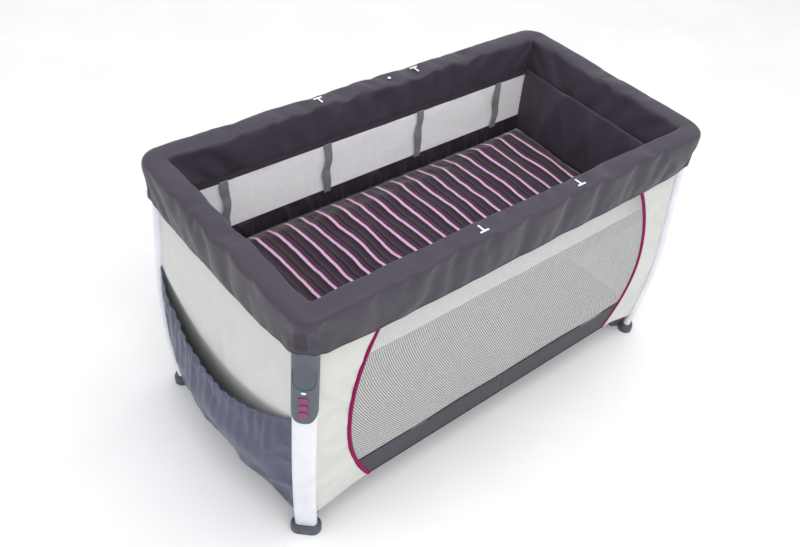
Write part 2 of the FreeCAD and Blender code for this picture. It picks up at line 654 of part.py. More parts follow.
def main():
    os.makedirs("parts", exist_ok=True)
    hub_body, hub_pins = hub()
    export("hub_body", hub_body)
    export("hub_pins", *hub_pins)
    export("pull_strap", pull_strap())
    export("floor_panel", floor_panel())

    arm, leg, bracket, leg_foot, panels = floor_arm(), leg_profile(), corner_bracket(), foot(), wall_panels()
    long_cover, short_cover = cover_halves()
    toggle = rail_toggle()
    for corner, (sign_x, sign_y) in CORNERS.items():
        long_open = OPEN_PIVOT_CLEARANCE if sign_x > 0 else PIN_CLEARANCE
        short_open = OPEN_PIVOT_CLEARANCE if sign_y > 0 else PIN_CLEARANCE
        export(f"floor_arm_{corner}", mirrored(arm, corner))
        export(f"leg_profile_{corner}", mirrored(leg, corner))
        export(f"corner_bracket_{corner}", *[mirrored(s, corner) for s in bracket])
        export(f"foot_{corner}", *[mirrored(s, corner) for s in leg_foot])
        export(f"wall_panels_{corner}", *[mirrored(s, corner) for s in panels])
        export(f"long_rail_{corner}", mirrored(long_rail(long_open), corner))
        export(f"short_rail_{corner}", mirrored(short_rail(short_open), corner))
        export(f"long_rail_cover_{corner}", mirrored(long_cover, corner))
        export(f"short_rail_cover_{corner}", mirrored(short_cover, corner))
        export(f"rail_toggle_{corner}", mirrored(toggle, corner))

    centres = {
        "front": (LONG_LATCH_PIVOT, 0, vec(0, -LEG_Y, RAIL_LEVEL)),
        "back": (LONG_LATCH_PIVOT, 0, vec(0, LEG_Y, RAIL_LEVEL)),
        "left": (SHORT_LATCH_PIVOT, 90, vec(-LEG_X, 0, RAIL_LEVEL)),
        "right": (SHORT_LATCH_PIVOT, 90, vec(LEG_X, 0, RAIL_LEVEL)),
    }
    for side, (pivot, angle, place) in centres.items():
        export(f"latch_housing_{side}", *[moved(s, angle, place) for s in latch(pivot)])
        export(f"latch_button_{side}", moved(latch_button(), angle, place))

    export("side_pocket", side_pocket())
    export("bassinet_liner", *bassinet_liner())
    export("mattress", mattress())

    housing, inserts, buttons = module()
    export("module_housing", mirrored(at_leg(housing), "front_left"))
    export("module_inserts", *[mirrored(at_leg(s), "front_left") for s in inserts])
    for name, button in buttons.items():
        export(f"module_button_{name}", mirrored(at_leg(button), "front_left"))


main()
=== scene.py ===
# The looks of the travel play yard: its padded rail cover, fabric sides, pocket, insert and mattress.
# Lengths are in metres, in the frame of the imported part: X along the long side, Y across and Z up,
# with the front at -Y and the end that has the pocket at -X.

import json
import math

import bmesh
import bpy
import numpy as np
from mathutils import Matrix, Vector, noise


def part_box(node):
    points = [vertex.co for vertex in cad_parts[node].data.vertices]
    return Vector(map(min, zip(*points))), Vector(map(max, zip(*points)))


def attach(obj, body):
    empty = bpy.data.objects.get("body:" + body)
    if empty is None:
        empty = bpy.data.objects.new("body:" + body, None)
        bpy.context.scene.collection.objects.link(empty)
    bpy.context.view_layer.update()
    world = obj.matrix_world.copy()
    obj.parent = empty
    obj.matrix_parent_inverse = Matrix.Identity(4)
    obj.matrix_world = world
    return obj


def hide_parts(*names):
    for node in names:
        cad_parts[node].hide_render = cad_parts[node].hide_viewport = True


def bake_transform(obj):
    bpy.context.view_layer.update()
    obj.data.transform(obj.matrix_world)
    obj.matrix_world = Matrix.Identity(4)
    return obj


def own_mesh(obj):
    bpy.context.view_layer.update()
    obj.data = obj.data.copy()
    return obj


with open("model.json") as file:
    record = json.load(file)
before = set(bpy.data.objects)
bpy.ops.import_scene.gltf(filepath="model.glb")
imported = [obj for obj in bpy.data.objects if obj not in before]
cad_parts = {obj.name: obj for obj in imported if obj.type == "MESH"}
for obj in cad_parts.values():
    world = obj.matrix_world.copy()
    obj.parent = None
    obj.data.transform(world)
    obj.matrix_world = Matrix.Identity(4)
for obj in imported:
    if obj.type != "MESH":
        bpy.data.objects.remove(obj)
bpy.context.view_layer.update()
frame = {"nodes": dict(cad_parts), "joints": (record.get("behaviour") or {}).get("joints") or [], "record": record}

CORNERS = {
    "front_left": (-1, -1),
    "front_right": (1, -1),
    "back_left": (-1, 1),
    "back_right": (1, 1),
}
JOINTS = {joint["name"]: joint for joint in frame["joints"]}
MOUNTS = {mount["name"]: mount for mount in frame["record"]["mounts"]}
MM = 0.001

# The frame's own measures
LEG_X, LEG_Y = MOUNTS["foot_back_right"]["pos_m"][:2]
HALF_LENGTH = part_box("short_rail_cover_back_right")[1].x
HALF_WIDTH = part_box("long_rail_cover_back_right")[1].y
COVER_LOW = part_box("long_rail_cover_back_right")[0].z
COVER_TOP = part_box("long_rail_cover_back_right")[1].z
MIDDLE = abs(JOINTS["latch_front_hinge"]["pos_m"][0])
MATTRESS_LOW, MATTRESS_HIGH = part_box("mattress")
LINER_LOW, LINER_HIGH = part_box("bassinet_liner")
STUD_X = 0.065
TOGGLE_X = sum(corner.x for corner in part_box("rail_toggle_back_right")) / 2

# The legs' bow, as the frame has it
LEG_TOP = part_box("leg_profile_back_right")[1].z
LEG_KNEE = 0.400
LEG_BOW = 0.020
FOOT_TOP = 0.025
LEG_EDGE = 0.0215
WALL_STAND = 0.0104

# The padded cover
COVER_WIDTH = 0.058
COVER_CORNER = 0.056
COVER_INNER_CORNER = 0.007
COVER_CROWN = 0.015
BINDING = 0.006
COVER_PAD = 0.004
COVER_HEM = COVER_LOW + 0.007
COVER_LIFT = 0.024
COVER_LIFT_REACH = 0.10
COVER_BULGE = 0.006
PATCH_TURN = (22, 52)
PATCH_LEVELS = (0.652, 0.702)
TRIM_ROOM = 0.020
COVER_PUCKER, COVER_SLACK, COVER_WRINKLE = 0.009, 0.0014, 0.0028
LIP_ROWS = 4

# The fabric sides
HEM = 0.074
WALL_TOP = 0.655
STRIP_TOP = 0.190
HEM_LIFT = 0.030
HEM_LIFT_FROM, HEM_LIFT_TO = 0.585, 0.455
WINDOW_WIDEST = 0.505
WINDOW_WIDEST_LEVEL = 0.340
WINDOW_CURVE_ABOVE, WINDOW_CURVE_BELOW = 1.04, 1.30
CLOTH_THICK, STRIP_THICK = 0.0012, 0.0014
CLOTH_COLUMNS, CLOTH_ROWS, WINDOW_COLUMNS = 12, 50, 40
LONG_WAY, SHORT_WAY, UP = (1, 0, 0), (0, 1, 0), (0, 0, 1)

# Half the width and half the thickness of each tape and rolled edge
PIPING = (0.0058, 0.0026)
STRIP_SEAM = (0.0022, 0.0014)
STRIP_HEM = (0.0030, 0.0022)
CLOTH_HEM = (0.0028, 0.0017)
POCKET_ELASTIC = (0.0040, 0.0020)
POCKET_SEAM = (0.0022, 0.0016)
BAND_TAPE = (0.0036, 0.0014)

# The pocket
POCKET_LOW = 0.076
POCKET_SIDE_TOP = 0.425
POCKET_MIDDLE_TOP = 0.320
POCKET_BELLY = 0.066
POCKET_STAND = 0.0030

# The module
MODULE_FACE = 0.017
LENS_RISE = 0.0032

# The insert
BAND_TOP = 0.480
STRAP_PLACES = (-0.455, -0.155, 0.155, 0.455)
STRAP_WIDTH = 0.022
FLAP_HEIGHT = 0.016
FLAP_TUCK = 0.002
LINER_WALL = 0.002
NET_IN, BAND_IN, TAPE_IN = 0.001, 0.0012, 0.0028
BAND_THICK, FLOOR_THICK, END_THICK, STRAP_THICK = 0.0010, 0.0014, 0.0016, 0.0014
BAND_DEEPEST = 0.0075
QUILT_STEP, QUILT_DEPTH = 0.12, 0.003
FLOOR_SAG = 0.004


# ---- materials


def shade(colour, factor=1.0):
    """A shader colour from one given as 0 to 255, made darker or lighter by a factor."""
    channels = [value / 255 for value in colour]
    straight = [c / 12.92 if c <= 0.04045 else ((c + 0.055) / 1.055) ** 2.4 for c in channels]
    return tuple(min(1.0, c * factor) for c in straight) + (1.0,)


FINISHES = {}


class Finish:
    """A material under construction, kept in FINISHES, with short calls for the nodes that it needs."""

    def __init__(self, name, **sockets):
        self.material = bpy.data.materials.new(name)
        self.material.use_nodes = True
        FINISHES[name] = self.material
        self.tree = self.material.node_tree
        self.shader = self.tree.nodes["Principled BSDF"]
        for socket, value in sockets.items():
            self.shader.inputs[socket.replace("_", " ")].default_value = value

    def node(self, kind, inputs=None, **settings):
        made = self.tree.nodes.new("ShaderNode" + kind)
        for name, value in settings.items():
            setattr(made, name, value)
        for name, value in (inputs or {}).items():
            made.inputs[name].default_value = value
        return made

    def link(self, start, end):
        self.tree.links.new(start, end)

    def stretched(self, vector, stretch):
        mapping = self.node("Mapping", {"Scale": stretch})
        self.link(vector, mapping.inputs["Vector"])
        return mapping.outputs["Vector"]

    def place(self, stretch=(1, 1, 1)):
        """The point on the object in metres, stretched."""
        return self.stretched(self.node("TexCoord").outputs["Object"], stretch)

    def cloth_place(self, stretch=(1, 1, 1)):
        """The place on a sheet in metres along its threads, stretched."""
        return self.stretched(self.node("UVMap", uv_map="cloth").outputs["UV"], stretch)

    def maths(self, operation, *values):
        made = self.node("Math", operation=operation)
        for socket, value in zip(made.inputs, values):
            if isinstance(value, (int, float)):
                socket.default_value = value
            else:
                self.link(value, socket)
        return made.outputs[0]

    def noise(self, vector, scale, detail=4.0, rough=0.55, distortion=0.0):
        numbers = {"Scale": scale, "Detail": detail, "Roughness": rough, "Distortion": distortion}
        made = self.node("TexNoise", numbers)
        self.link(vector, made.inputs["Vector"])
        return made.outputs["Fac"]

    def ramp(self, value, stops, interpolation="LINEAR"):
        made = self.node("ValToRGB")
        made.color_ramp.interpolation = interpolation
        elements = made.color_ramp.elements
        while len(elements) < len(stops):
            elements.new(0.5)
        for element, (place, colour) in zip(elements, stops):
            element.position = place
            element.color = colour if len(colour) == 4 else (*colour, 1.0)
        self.link(value, made.inputs["Fac"])
        return made.outputs["Color"]

    def spread(self, value, low, high, from_low=0.0, from_high=1.0):
        """value carried from one range to another."""
        ends = {"From Min": from_low, "From Max": from_high, "To Min": low, "To Max": high}
        made = self.node("MapRange", ends)
        self.link(value, made.inputs["Value"])
        return made.outputs["Result"]

    def weave(self, pitch):
        """Threads over and under each other, 0 to 1, in the sheet's own directions."""
        turn = 2 * math.pi / pitch
        split = self.node("SeparateXYZ")
        self.link(self.cloth_place((turn, turn, turn)), split.inputs[0])
        across = self.maths("SINE", split.outputs[0])
        along = self.maths("SINE", split.outputs[1])
        return self.spread(self.maths("MULTIPLY", across, along), 0, 1, -1, 1)

    def bump(self, height, strength, distance):
        made = self.node("Bump", {"Strength": strength, "Distance": distance})
        self.link(height, made.inputs["Height"])
        self.link(made.outputs["Normal"], self.shader.inputs["Normal"])

    def colour(self, output):
        self.link(output, self.shader.inputs["Base Color"])

    def roughness(self, output):
        self.link(output, self.shader.inputs["Roughness"])


def woven(name, colour, pitch, rough=0.6, sheen=0.25, depth=0.35, mottle=0.14, crinkle=0.5, gloss=0.35):
    """Plain-woven nylon or polyester: threads, a faint mottle, fine crinkles and uneven gloss."""
    made = Finish(name, Sheen_Weight=sheen, Sheen_Roughness=0.4, Specular_IOR_Level=gloss)
    broad = made.noise(made.place(), 9.0, 5.0)
    fine = made.noise(made.place((1, 1, 0.6)), 120.0, 3.0)
    threads = made.weave(pitch)
    tone = made.maths("ADD", made.maths("MULTIPLY", broad, 0.6), made.maths("MULTIPLY", fine, 0.2))
    tone = made.maths("ADD", tone, made.maths("MULTIPLY", threads, 0.2))
    dark, light = shade(colour, 1 - mottle), shade(colour, 1 + mottle)
    made.colour(made.ramp(tone, [(0.3, dark), (0.7, light)]))
    made.roughness(made.spread(fine, rough - 0.08, rough + 0.1))
    crinkles = made.noise(made.place((1, 1, 1)), 26.0, 6.0, 0.6, 0.8)
    relief = made.maths("MULTIPLY", crinkles, crinkle * 4)
    height = made.maths("ADD", made.maths("MULTIPLY", threads, 0.25), relief)
    made.bump(height, depth, 0.0012)


def knitted_net(name, colour, pitch, open_radius, rough=0.7):
    """White knitted netting: rows of rounded holes, each row set half a step from the next."""
    made = Finish(name, Roughness=rough, Sheen_Weight=0.2, Specular_IOR_Level=0.3)
    split = made.node("SeparateXYZ")
    made.link(made.cloth_place((1 / pitch[0], 1 / pitch[1], 1)), split.inputs[0])
    row = made.maths("FLOOR", split.outputs[1])
    shift = made.maths("MULTIPLY", made.maths("MODULO", row, 2.0), 0.5)
    across = made.maths("SUBTRACT", made.maths("FRACT", made.maths("ADD", split.outputs[0], shift)), 0.5)
    along = made.maths("SUBTRACT", made.maths("FRACT", split.outputs[1]), 0.5)
    squared = made.maths("ADD", made.maths("MULTIPLY", across, across), made.maths("MULTIPLY", along, along))
    gap = made.maths("SQRT", squared)
    thread = made.spread(gap, 0, 1, open_radius - 0.04, open_radius + 0.04)
    made.link(thread, made.shader.inputs["Alpha"])
    fine = made.noise(made.cloth_place(), 60.0, 3.0)
    made.colour(made.ramp(fine, [(0.3, shade(colour, 0.93)), (0.7, shade(colour))]))
    made.bump(gap, 0.4, 0.001)


def embossed(name, colour):
    """Cloth with a raised, close pattern of worm-like ridges; its colour has painted shade in the hollows between
    the ridges and painted light on their crests.
    """
    made = Finish(name, Sheen_Weight=0.1, Specular_IOR_Level=0.3)
    bent = made.noise(made.place(), 150.0, 2.0, 0.5, 2.5)
    ridges = made.spread(made.maths("SINE", made.maths("MULTIPLY", bent, 60.0)), 0, 1, -1, 1)
    # painted shade and painted light: the hollows between the ridges are made darker and their crests lighter,
    # following the same heights as the bump
    made.colour(made.ramp(ridges, [(0.2, shade(colour, 0.55)), (0.8, shade(colour, 1.25))]))
    made.roughness(made.spread(ridges, 0.75, 0.5))
    made.bump(ridges, 0.8, 0.0012)


def webbing_finish(name, colour):
    """Woven tape: ribs across it and a faint mottle."""
    made = Finish(name, Sheen_Weight=0.2, Specular_IOR_Level=0.3)
    split = made.node("SeparateXYZ")
    made.link(made.cloth_place(), split.inputs[0])
    ribs = made.spread(made.maths("SINE", made.maths("MULTIPLY", split.outputs[0], 2400.0)), 0, 1, -1, 1)
    cross = made.spread(made.maths("SINE", made.maths("MULTIPLY", split.outputs[1], 1700.0)), 0, 1, -1, 1)
    mottle = made.noise(made.place(), 260.0, 3.0)
    tone = made.maths("ADD", made.maths("MULTIPLY", ribs, 0.35), made.maths("MULTIPLY", mottle, 0.65))
    made.colour(made.ramp(tone, [(0.25, shade(colour, 0.55)), (0.75, shade(colour, 1.5))]))
    made.roughness(made.spread(mottle, 0.6, 0.85))
    made.bump(made.maths("ADD", ribs, cross), 0.6, 0.0006)


def moulded(name, colour, rough, grain=900.0, depth=0.12, **sockets):
    """Moulded or coated surfaces: a fine grain, faint colour clouds and small handling marks."""
    made = Finish(name, **sockets)
    clouds = made.noise(made.place(), 14.0, 5.0)
    fine = made.noise(made.place(), grain, 2.0)
    marks = made.noise(made.place((1, 1, 0.25)), 70.0, 6.0, 0.7)
    made.colour(made.ramp(clouds, [(0.3, shade(colour, 0.93)), (0.7, shade(colour, 1.06))]))
    made.roughness(made.spread(made.maths("MULTIPLY", marks, clouds), rough - 0.06, rough + 0.12, 0.1, 0.45))
    made.bump(fine, depth, 0.0004)


# The mattress cloth's stripes, drawn over 43.2 mm and stretched to STRIPE_REPEAT: where each one
# starts, in millimetres of the drawing, and its colour
STRIPE_REPEAT = 0.0500
STRIPES_DRAWN = 0.0432
STRIPES = (
    (0.0, (214, 184, 212)),
    (6.8, (128, 30, 82)),
    (9.6, (96, 24, 68)),
    (11.2, (26, 10, 22)),
    (13.6, (126, 98, 120)),
    (14.6, (34, 31, 44)),
    (21.6, (20, 13, 22)),
    (23.6, (104, 82, 88)),
    (24.5, (66, 45, 53)),
    (27.0, (50, 33, 42)),
    (28.4, (76, 54, 62)),
    (30.8, (22, 13, 20)),
    (32.2, (54, 35, 45)),
    (35.6, (31, 27, 39)),
    (40.0, (22, 12, 22)),
    (41.6, (96, 24, 68)),
)


def striped_finish(name):
    """The mattress cover: lengthwise-repeating stripes in a brushed weave, a little wavy as it lies."""
    made = Finish(name, Sheen_Weight=0.35, Sheen_Roughness=0.45, Specular_IOR_Level=0.25)
    place = made.place()
    split = made.node("SeparateXYZ")
    made.link(place, split.inputs[0])
    drift = made.spread(made.noise(made.place((1.2, 5.5, 1)), 1.6, 2.0, 0.5), -0.010, 0.010)
    ragged = made.spread(made.noise(place, 420.0, 2.0), -0.0002, 0.0002)
    across = made.maths("ADD", made.maths("ADD", split.outputs[0], drift), ragged)
    turn = made.maths("FRACT", made.maths("MULTIPLY", across, 1 / STRIPE_REPEAT))
    stops = [(start * MM / STRIPES_DRAWN, shade(colour)) for start, colour in STRIPES]
    stripes = made.ramp(turn, stops, "CONSTANT")
    fuzz = made.noise(place, 300.0, 4.0)
    mix = made.node("Mix", data_type="RGBA", blend_type="MULTIPLY")
    mix.inputs[0].default_value = 0.5
    made.link(stripes, mix.inputs[6])
    made.link(made.ramp(fuzz, [(0.25, (0.6, 0.6, 0.6)), (0.7, (1.0, 1.0, 1.0))]), mix.inputs[7])
    made.colour(mix.outputs[2])
    made.roughness(made.spread(fuzz, 0.72, 0.92))
    nap = made.maths("MULTIPLY", fuzz, 0.5)
    made.bump(made.maths("ADD", nap, made.noise(place, 30.0, 4.0)), 0.35, 0.0015)


woven("cover_nylon", (61, 55, 66), 0.0016, rough=0.5, sheen=0.12, crinkle=0.9)
woven("cover_binding", (34, 31, 38), 0.0012, rough=0.6, sheen=0.08)
embossed("cover_patch", (66, 55, 72))
woven("wall_cloth", (206, 207, 202), 0.0014, rough=0.65, sheen=0.1, mottle=0.03, crinkle=0.25)
woven("floor_cloth", (84, 82, 90), 0.0016)
woven("pocket_nylon", (72, 76, 98), 0.0016, rough=0.5, sheen=0.15)
woven("strip_nylon", (54, 50, 60), 0.0016, rough=0.55, sheen=0.08)
woven("liner_cloth", (66, 57, 70), 0.0018, rough=0.55, sheen=0.12)
woven("band_cloth", (42, 34, 46), 0.0018, rough=0.5, sheen=0.1)
knitted_net("mesh_white", (212, 212, 210), (0.0058, 0.0050), 0.36)
knitted_net("mesh_fine", (252, 252, 253), (0.0032, 0.0030), 0.13)
webbing_finish("webbing", (122, 124, 126))
woven("piping", (132, 0, 76), 0.0012, rough=0.55, sheen=0.0, mottle=0.1, gloss=0.12)
striped_finish("mattress_cloth")
moulded("white_leg", (226, 226, 233), 0.32, Coat_Weight=0.25, Coat_Roughness=0.2)
moulded("steel_tube", (120, 122, 128), 0.35, Metallic=0.6)
moulded("rivet", (196, 197, 200), 0.28, Metallic=1.0)
moulded("moulding", (74, 76, 86), 0.45)
moulded("button_grey", (130, 131, 137), 0.4)
moulded("module_grey", (82, 88, 97), 0.42)
moulded("module_dark", (77, 83, 92), 0.45)
moulded("magenta_plastic", (138, 24, 100), 0.3, Coat_Weight=0.3, Coat_Roughness=0.15)
moulded("white_plastic", (244, 244, 244), 0.3, Coat_Weight=0.3)
moulded("lens", (214, 234, 228), 0.15, Coat_Weight=0.8, Coat_Roughness=0.05)


# ---- meshes


def added(name, data):
    """A new object in the scene."""
    obj = bpy.data.objects.new(name, data)
    bpy.context.scene.collection.objects.link(obj)
    return obj


def sheet_mesh(name, points, material, round_u=False, round_v=False, flip=False, keep=None):
    """A mesh of quads through points[i][j], with a map named cloth that is in metres along both ways.

    round_u and round_v close it on itself. keep(centre) says which quads are there."""
    points = np.asarray(points, float)
    rows, columns = points.shape[:2]
    ends_u, ends_v = rows - (not round_u), columns - (not round_v)
    steps_u = np.linalg.norm(np.roll(points, -1, 0) - points, axis=2).mean(1)
    steps_v = np.linalg.norm(np.roll(points, -1, 1) - points, axis=2).mean(0)
    along_u = np.concatenate([[0], np.cumsum(steps_u)])
    along_v = np.concatenate([[0], np.cumsum(steps_v)])
    faces, uvs = [], []
    for i in range(ends_u):
        for j in range(ends_v):
            corners = [(i, j), (i + 1, j), (i + 1, j + 1), (i, j + 1)]
            if flip:
                corners.reverse()
            face = [(a % rows) * columns + b % columns for a, b in corners]
            if keep and not keep(points.reshape(-1, 3)[face].mean(0)):
                continue
            faces.append(face)
            uvs += [(along_u[a], along_v[b]) for a, b in corners]
    mesh = bpy.data.meshes.new(name)
    mesh.from_pydata(points.reshape(-1, 3).tolist(), [], faces)
    mesh.uv_layers.new(name="cloth").data.foreach_set("uv", np.array(uvs, np.float32).ravel())
    mesh.polygons.foreach_set("use_smooth", [True] * len(faces))
    mesh.materials.append(FINISHES[material])
    return added(name, mesh)


def cap_ends(obj, ring):
    """Closes the two open ends of a tube whose sections have ring points."""
    mesh = obj.data
    count = len(mesh.vertices)
    maker = bmesh.new()
    maker.from_mesh(mesh)
    maker.verts.ensure_lookup_table()
    maker.faces.new([maker.verts[i] for i in range(ring)][::-1])
    maker.faces.new([maker.verts[i] for i in range(count - ring, count)])
    maker.to_mesh(mesh)
    maker.free()
    return obj


def read(items, attribute, kind=float, width=1):
    """One attribute of all of a mesh's items, as an array with width columns."""
    values = np.empty(len(items) * width, kind)
    items.foreach_get(attribute, values)
    return values.reshape(-1, width) if width > 1 else values


def places_of(obj):
    return read(obj.data.vertices, "co", width=3)


def put(obj, places):
    obj.data.vertices.foreach_set("co", np.asarray(places, np.float32).ravel())
    obj.data.update()


def baked(obj):
    """Applies every modifier."""
    graph = bpy.context.evaluated_depsgraph_get()
    seen = obj.evaluated_get(graph)
    mesh = bpy.data.meshes.new_from_object(seen, preserve_all_data_layers=True, depsgraph=graph)
    obj.modifiers.clear()
    obj.vertex_groups.clear()
    obj.data = mesh
    return obj


def thicken(obj, thickness, smooth=1):
    """Subdivides a sheet and gives it thickness, inwards from its face."""
    if smooth:
        subdivision = obj.modifiers.new("smooth", "SUBSURF")
        subdivision.levels = subdivision.render_levels = smooth
        subdivision.boundary_smooth = "PRESERVE_CORNERS"
    solid = obj.modifiers.new("thickness", "SOLIDIFY")
    solid.thickness = thickness
    solid.offset = -1
    return baked(obj)


def subdivided(obj, levels=1):
    subdivision = obj.modifiers.new("smooth", "SUBSURF")
    subdivision.levels = subdivision.render_levels = levels
    return baked(obj)


def flat_tube(name, path, across, half_wide, half_thick, material, ring=10):
    """A flattened round tape along a path, half_wide along across at each point."""
    path = np.asarray(path, float)
    across = np.broadcast_to(np.asarray(across, float), path.shape)
    tangent = np.gradient(path, axis=0)
    tangent /= np.linalg.norm(tangent, axis=1, keepdims=True)
    side = across - (across * tangent).sum(1, keepdims=True) * tangent
    side /= np.linalg.norm(side, axis=1, keepdims=True)
    out = np.cross(tangent, side)
    turns = np.linspace(0, 2 * np.pi, ring, endpoint=False)
    grid = [
        [p + s * half_wide * np.cos(a) + o * half_thick * np.sin(a) for a in turns]
        for p, s, o in zip(path, side, out)
    ]
    return cap_ends(sheet_mesh(name, grid, material, round_v=True), ring)


def split_pieces(obj, names):
    """Cuts obj into one piece for each number in its faces' 'piece' attribute.

    Each keeps the whole's own normals, so that no seam shows where two meet."""
    mesh = obj.data
    numbers = read(mesh.attributes["piece"].data, "value", np.int32)
    starts = read(mesh.polygons, "loop_start", np.int32)
    totals = read(mesh.polygons, "loop_total", np.int32)
    slots = read(mesh.polygons, "material_index", np.int32)
    corner_points = read(mesh.loops, "vertex_index", np.int32)
    normals = read(mesh.corner_normals, "vector", width=3)
    uvs = read(mesh.uv_layers["cloth"].data, "uv", width=2)
    places = places_of(obj)
    made = {}
    for number, name in enumerate(names):
        chosen = np.flatnonzero(numbers == number)
        loops = np.concatenate([np.arange(starts[f], starts[f] + totals[f]) for f in chosen])
        used, inverse = np.unique(corner_points[loops], return_inverse=True)
        edges = np.concatenate([[0], np.cumsum(totals[chosen])])
        faces = [inverse[a:b].tolist() for a, b in zip(edges, edges[1:])]
        part = bpy.data.meshes.new(name)
        part.from_pydata(places[used].tolist(), [], faces)
        part.uv_layers.new(name="cloth").data.foreach_set("uv", uvs[loops].astype(np.float32).ravel())
        for material in mesh.materials:
            part.materials.append(material)
        part.polygons.foreach_set("material_index", slots[chosen])
        part.polygons.foreach_set("use_smooth", [True] * len(chosen))
        part.normals_split_custom_set(normals[loops].tolist())
        made[name] = added(name, part)
    bpy.data.objects.remove(obj)
    return made


def number_faces(obj, number_of):
    """Gives each face the number that number_of(its centre) says, in the attribute 'piece'."""
    numbers = [number_of(face.center) for face in obj.data.polygons]
    obj.data.attributes.new("piece", "INT", "FACE").data.foreach_set("value", numbers)


# ---- cloth


waiting = []


def settle(obj, hold, grow=0.0, swell=0.0, gravity=0.0, bend=0.5, cap=0.008):
    """Puts obj down for the cloth run. hold gives each point's share of being held, 0 to 1.

    grow is by how much the cloth is larger than its place, and swell is the air inside a pad."""
    group = obj.vertex_groups.new(name="hold")
    for share in np.unique(np.round(hold, 3)):
        if share > 0:
            group.add(np.flatnonzero(np.round(hold, 3) == share).tolist(), float(share), "REPLACE")
    cloth = obj.modifiers.new("cloth", "CLOTH")
    settings = cloth.settings
    settings.quality = 5
    settings.mass = 0.2
    settings.tension_stiffness = settings.compression_stiffness = 15
    settings.shear_stiffness = 5
    settings.bending_stiffness = bend
    settings.shrink_min = -grow
    settings.use_pressure = swell > 0
    settings.uniform_pressure_force = swell
    settings.effector_weights.gravity = gravity
    settings.vertex_group_mass = "hold"
    cloth.collision_settings.use_collision = False
    waiting.append((obj, cap))


def run_cloth(frames=20):
    """Lets all the waiting cloth settle together, and keeps each point within its cap."""
    scene = bpy.context.scene
    for number in range(1, frames + 1):
        scene.frame_set(number)
    graph = bpy.context.evaluated_depsgraph_get()
    results = [read(obj.evaluated_get(graph).data.vertices, "co", width=3) for obj, _ in waiting]
    for (obj, cap), settled in zip(waiting, results):
        start = places_of(obj)
        move = settled - start
        far = np.linalg.norm(move, axis=1, keepdims=True)
        move *= np.minimum(1.0, cap / np.maximum(far, 1e-9))
        obj.modifiers.clear()
        obj.vertex_groups.clear()
        put(obj, start + move)
    waiting.clear()
    scene.frame_set(1)


NOISE_STEPS = (7.31, 3.17, 5.93)


def ripple(places, seed, size, height):
    """Smooth noise, a number for each point of a grid or a list, repeatable by its seed."""
    offset = Vector([seed * step for step in NOISE_STEPS])
    heights = [noise.noise(Vector(place) / size + offset) for place in places.reshape(-1, 3)]
    return height * np.array(heights).reshape(places.shape[:-1])


def fade_in(count, reach):
    """0 at both ends of a row of points, up to 1 from reach steps in."""
    steps = np.arange(count)
    return np.clip(np.minimum(steps, steps[::-1]) / reach, 0, 1)


def creases(along, up, seed, count, length, depth, width=0.006, lean=0.15):
    """Rounded folds that run up a sheet: their depth at each (along, up)."""
    random = np.random.default_rng(seed)
    total = np.zeros(np.broadcast(along, up).shape)
    for _ in range(count):
        place = random.uniform(-length / 2, length / 2)
        tilt = random.uniform(-lean, lean)
        size = depth * random.uniform(0.4, 1.0)
        thick = width * random.uniform(0.6, 1.8)
        off = along - place - tilt * up
        total += size * np.exp(-((off / thick) ** 2))
    return total


def bow(level):
    """How far the legs' centre lines stand out along the diagonal at a level."""
    rise = LEG_KNEE - FOOT_TOP
    angle = math.atan2(LEG_BOW, LEG_TOP - LEG_KNEE)
    radius = (LEG_BOW**2 + rise**2) / (2 * (LEG_BOW * math.cos(angle) + rise * math.sin(angle)))
    out, height = LEG_BOW - radius * math.cos(angle), LEG_KNEE - radius * math.sin(angle)
    if level >= LEG_KNEE:
        return LEG_BOW * (LEG_TOP - level) / (LEG_TOP - LEG_KNEE)
    return out + math.sqrt(radius**2 - (level - height) ** 2)


def wall_out(level):
    """How far a fabric side is outside the plane of the legs' centres at a level."""
    return WALL_STAND + bow(level) / math.sqrt(2)


def wall_end(level):
    """How far from the legs' centre plane, outwards, a side's upright edge is at a level."""
    return bow(level) / math.sqrt(2) - LEG_EDGE


def gather_to_leg(piece, corner):
    """The piece rides a leg, with a mesh of its own."""
    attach(piece, f"leg_{corner}")
    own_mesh(piece)


# ---- the padded cover


def cover_columns():
    """The outer and inner points of each column of the cover, once round, seen from above."""
    inner_x, inner_y = HALF_LENGTH - COVER_WIDTH, HALF_WIDTH - COVER_WIDTH
    stop_x, stop_y = inner_x - COVER_INNER_CORNER, inner_y - COVER_INNER_CORNER
    straight_x = np.concatenate([np.linspace(0, MIDDLE, 9), np.linspace(MIDDLE, stop_x, 48)[1:-1]])
    straight_y = np.linspace(stop_y, 0, 28)[1:]
    steps = 16
    lead = HALF_LENGTH - COVER_CORNER - stop_x
    arc = COVER_CORNER * math.pi / 2
    corner = []
    for step in range(steps + 1):
        turn = step / steps * math.pi / 2
        inner = (stop_x + COVER_INNER_CORNER * math.sin(turn), stop_y + COVER_INNER_CORNER * math.cos(turn))
        run = step / steps * (2 * lead + arc) - lead
        angle = min(max(run / COVER_CORNER, 0), math.pi / 2)
        before, after = min(run, 0), max(run - arc, 0)
        outer = (
            HALF_LENGTH - COVER_CORNER + COVER_CORNER * math.sin(angle) + before,
            HALF_WIDTH - COVER_CORNER + COVER_CORNER * math.cos(angle) - after,
        )
        corner.append((outer, inner))
    quarter = [((x, HALF_WIDTH), (x, inner_y)) for x in straight_x]
    quarter += corner
    quarter += [((HALF_LENGTH, y), (inner_x, y)) for y in straight_y]
    ring = []
    for sign_x, sign_y, backwards in ((1, 1, False), (1, -1, True), (-1, -1, False), (-1, 1, True)):
        part = [((o[0] * sign_x, o[1] * sign_y), (i[0] * sign_x, i[1] * sign_y)) for o, i in quarter]
        ring += part[::-1][1:] if backwards else part[(0 if not ring else 1):]
    return ring[:-1]


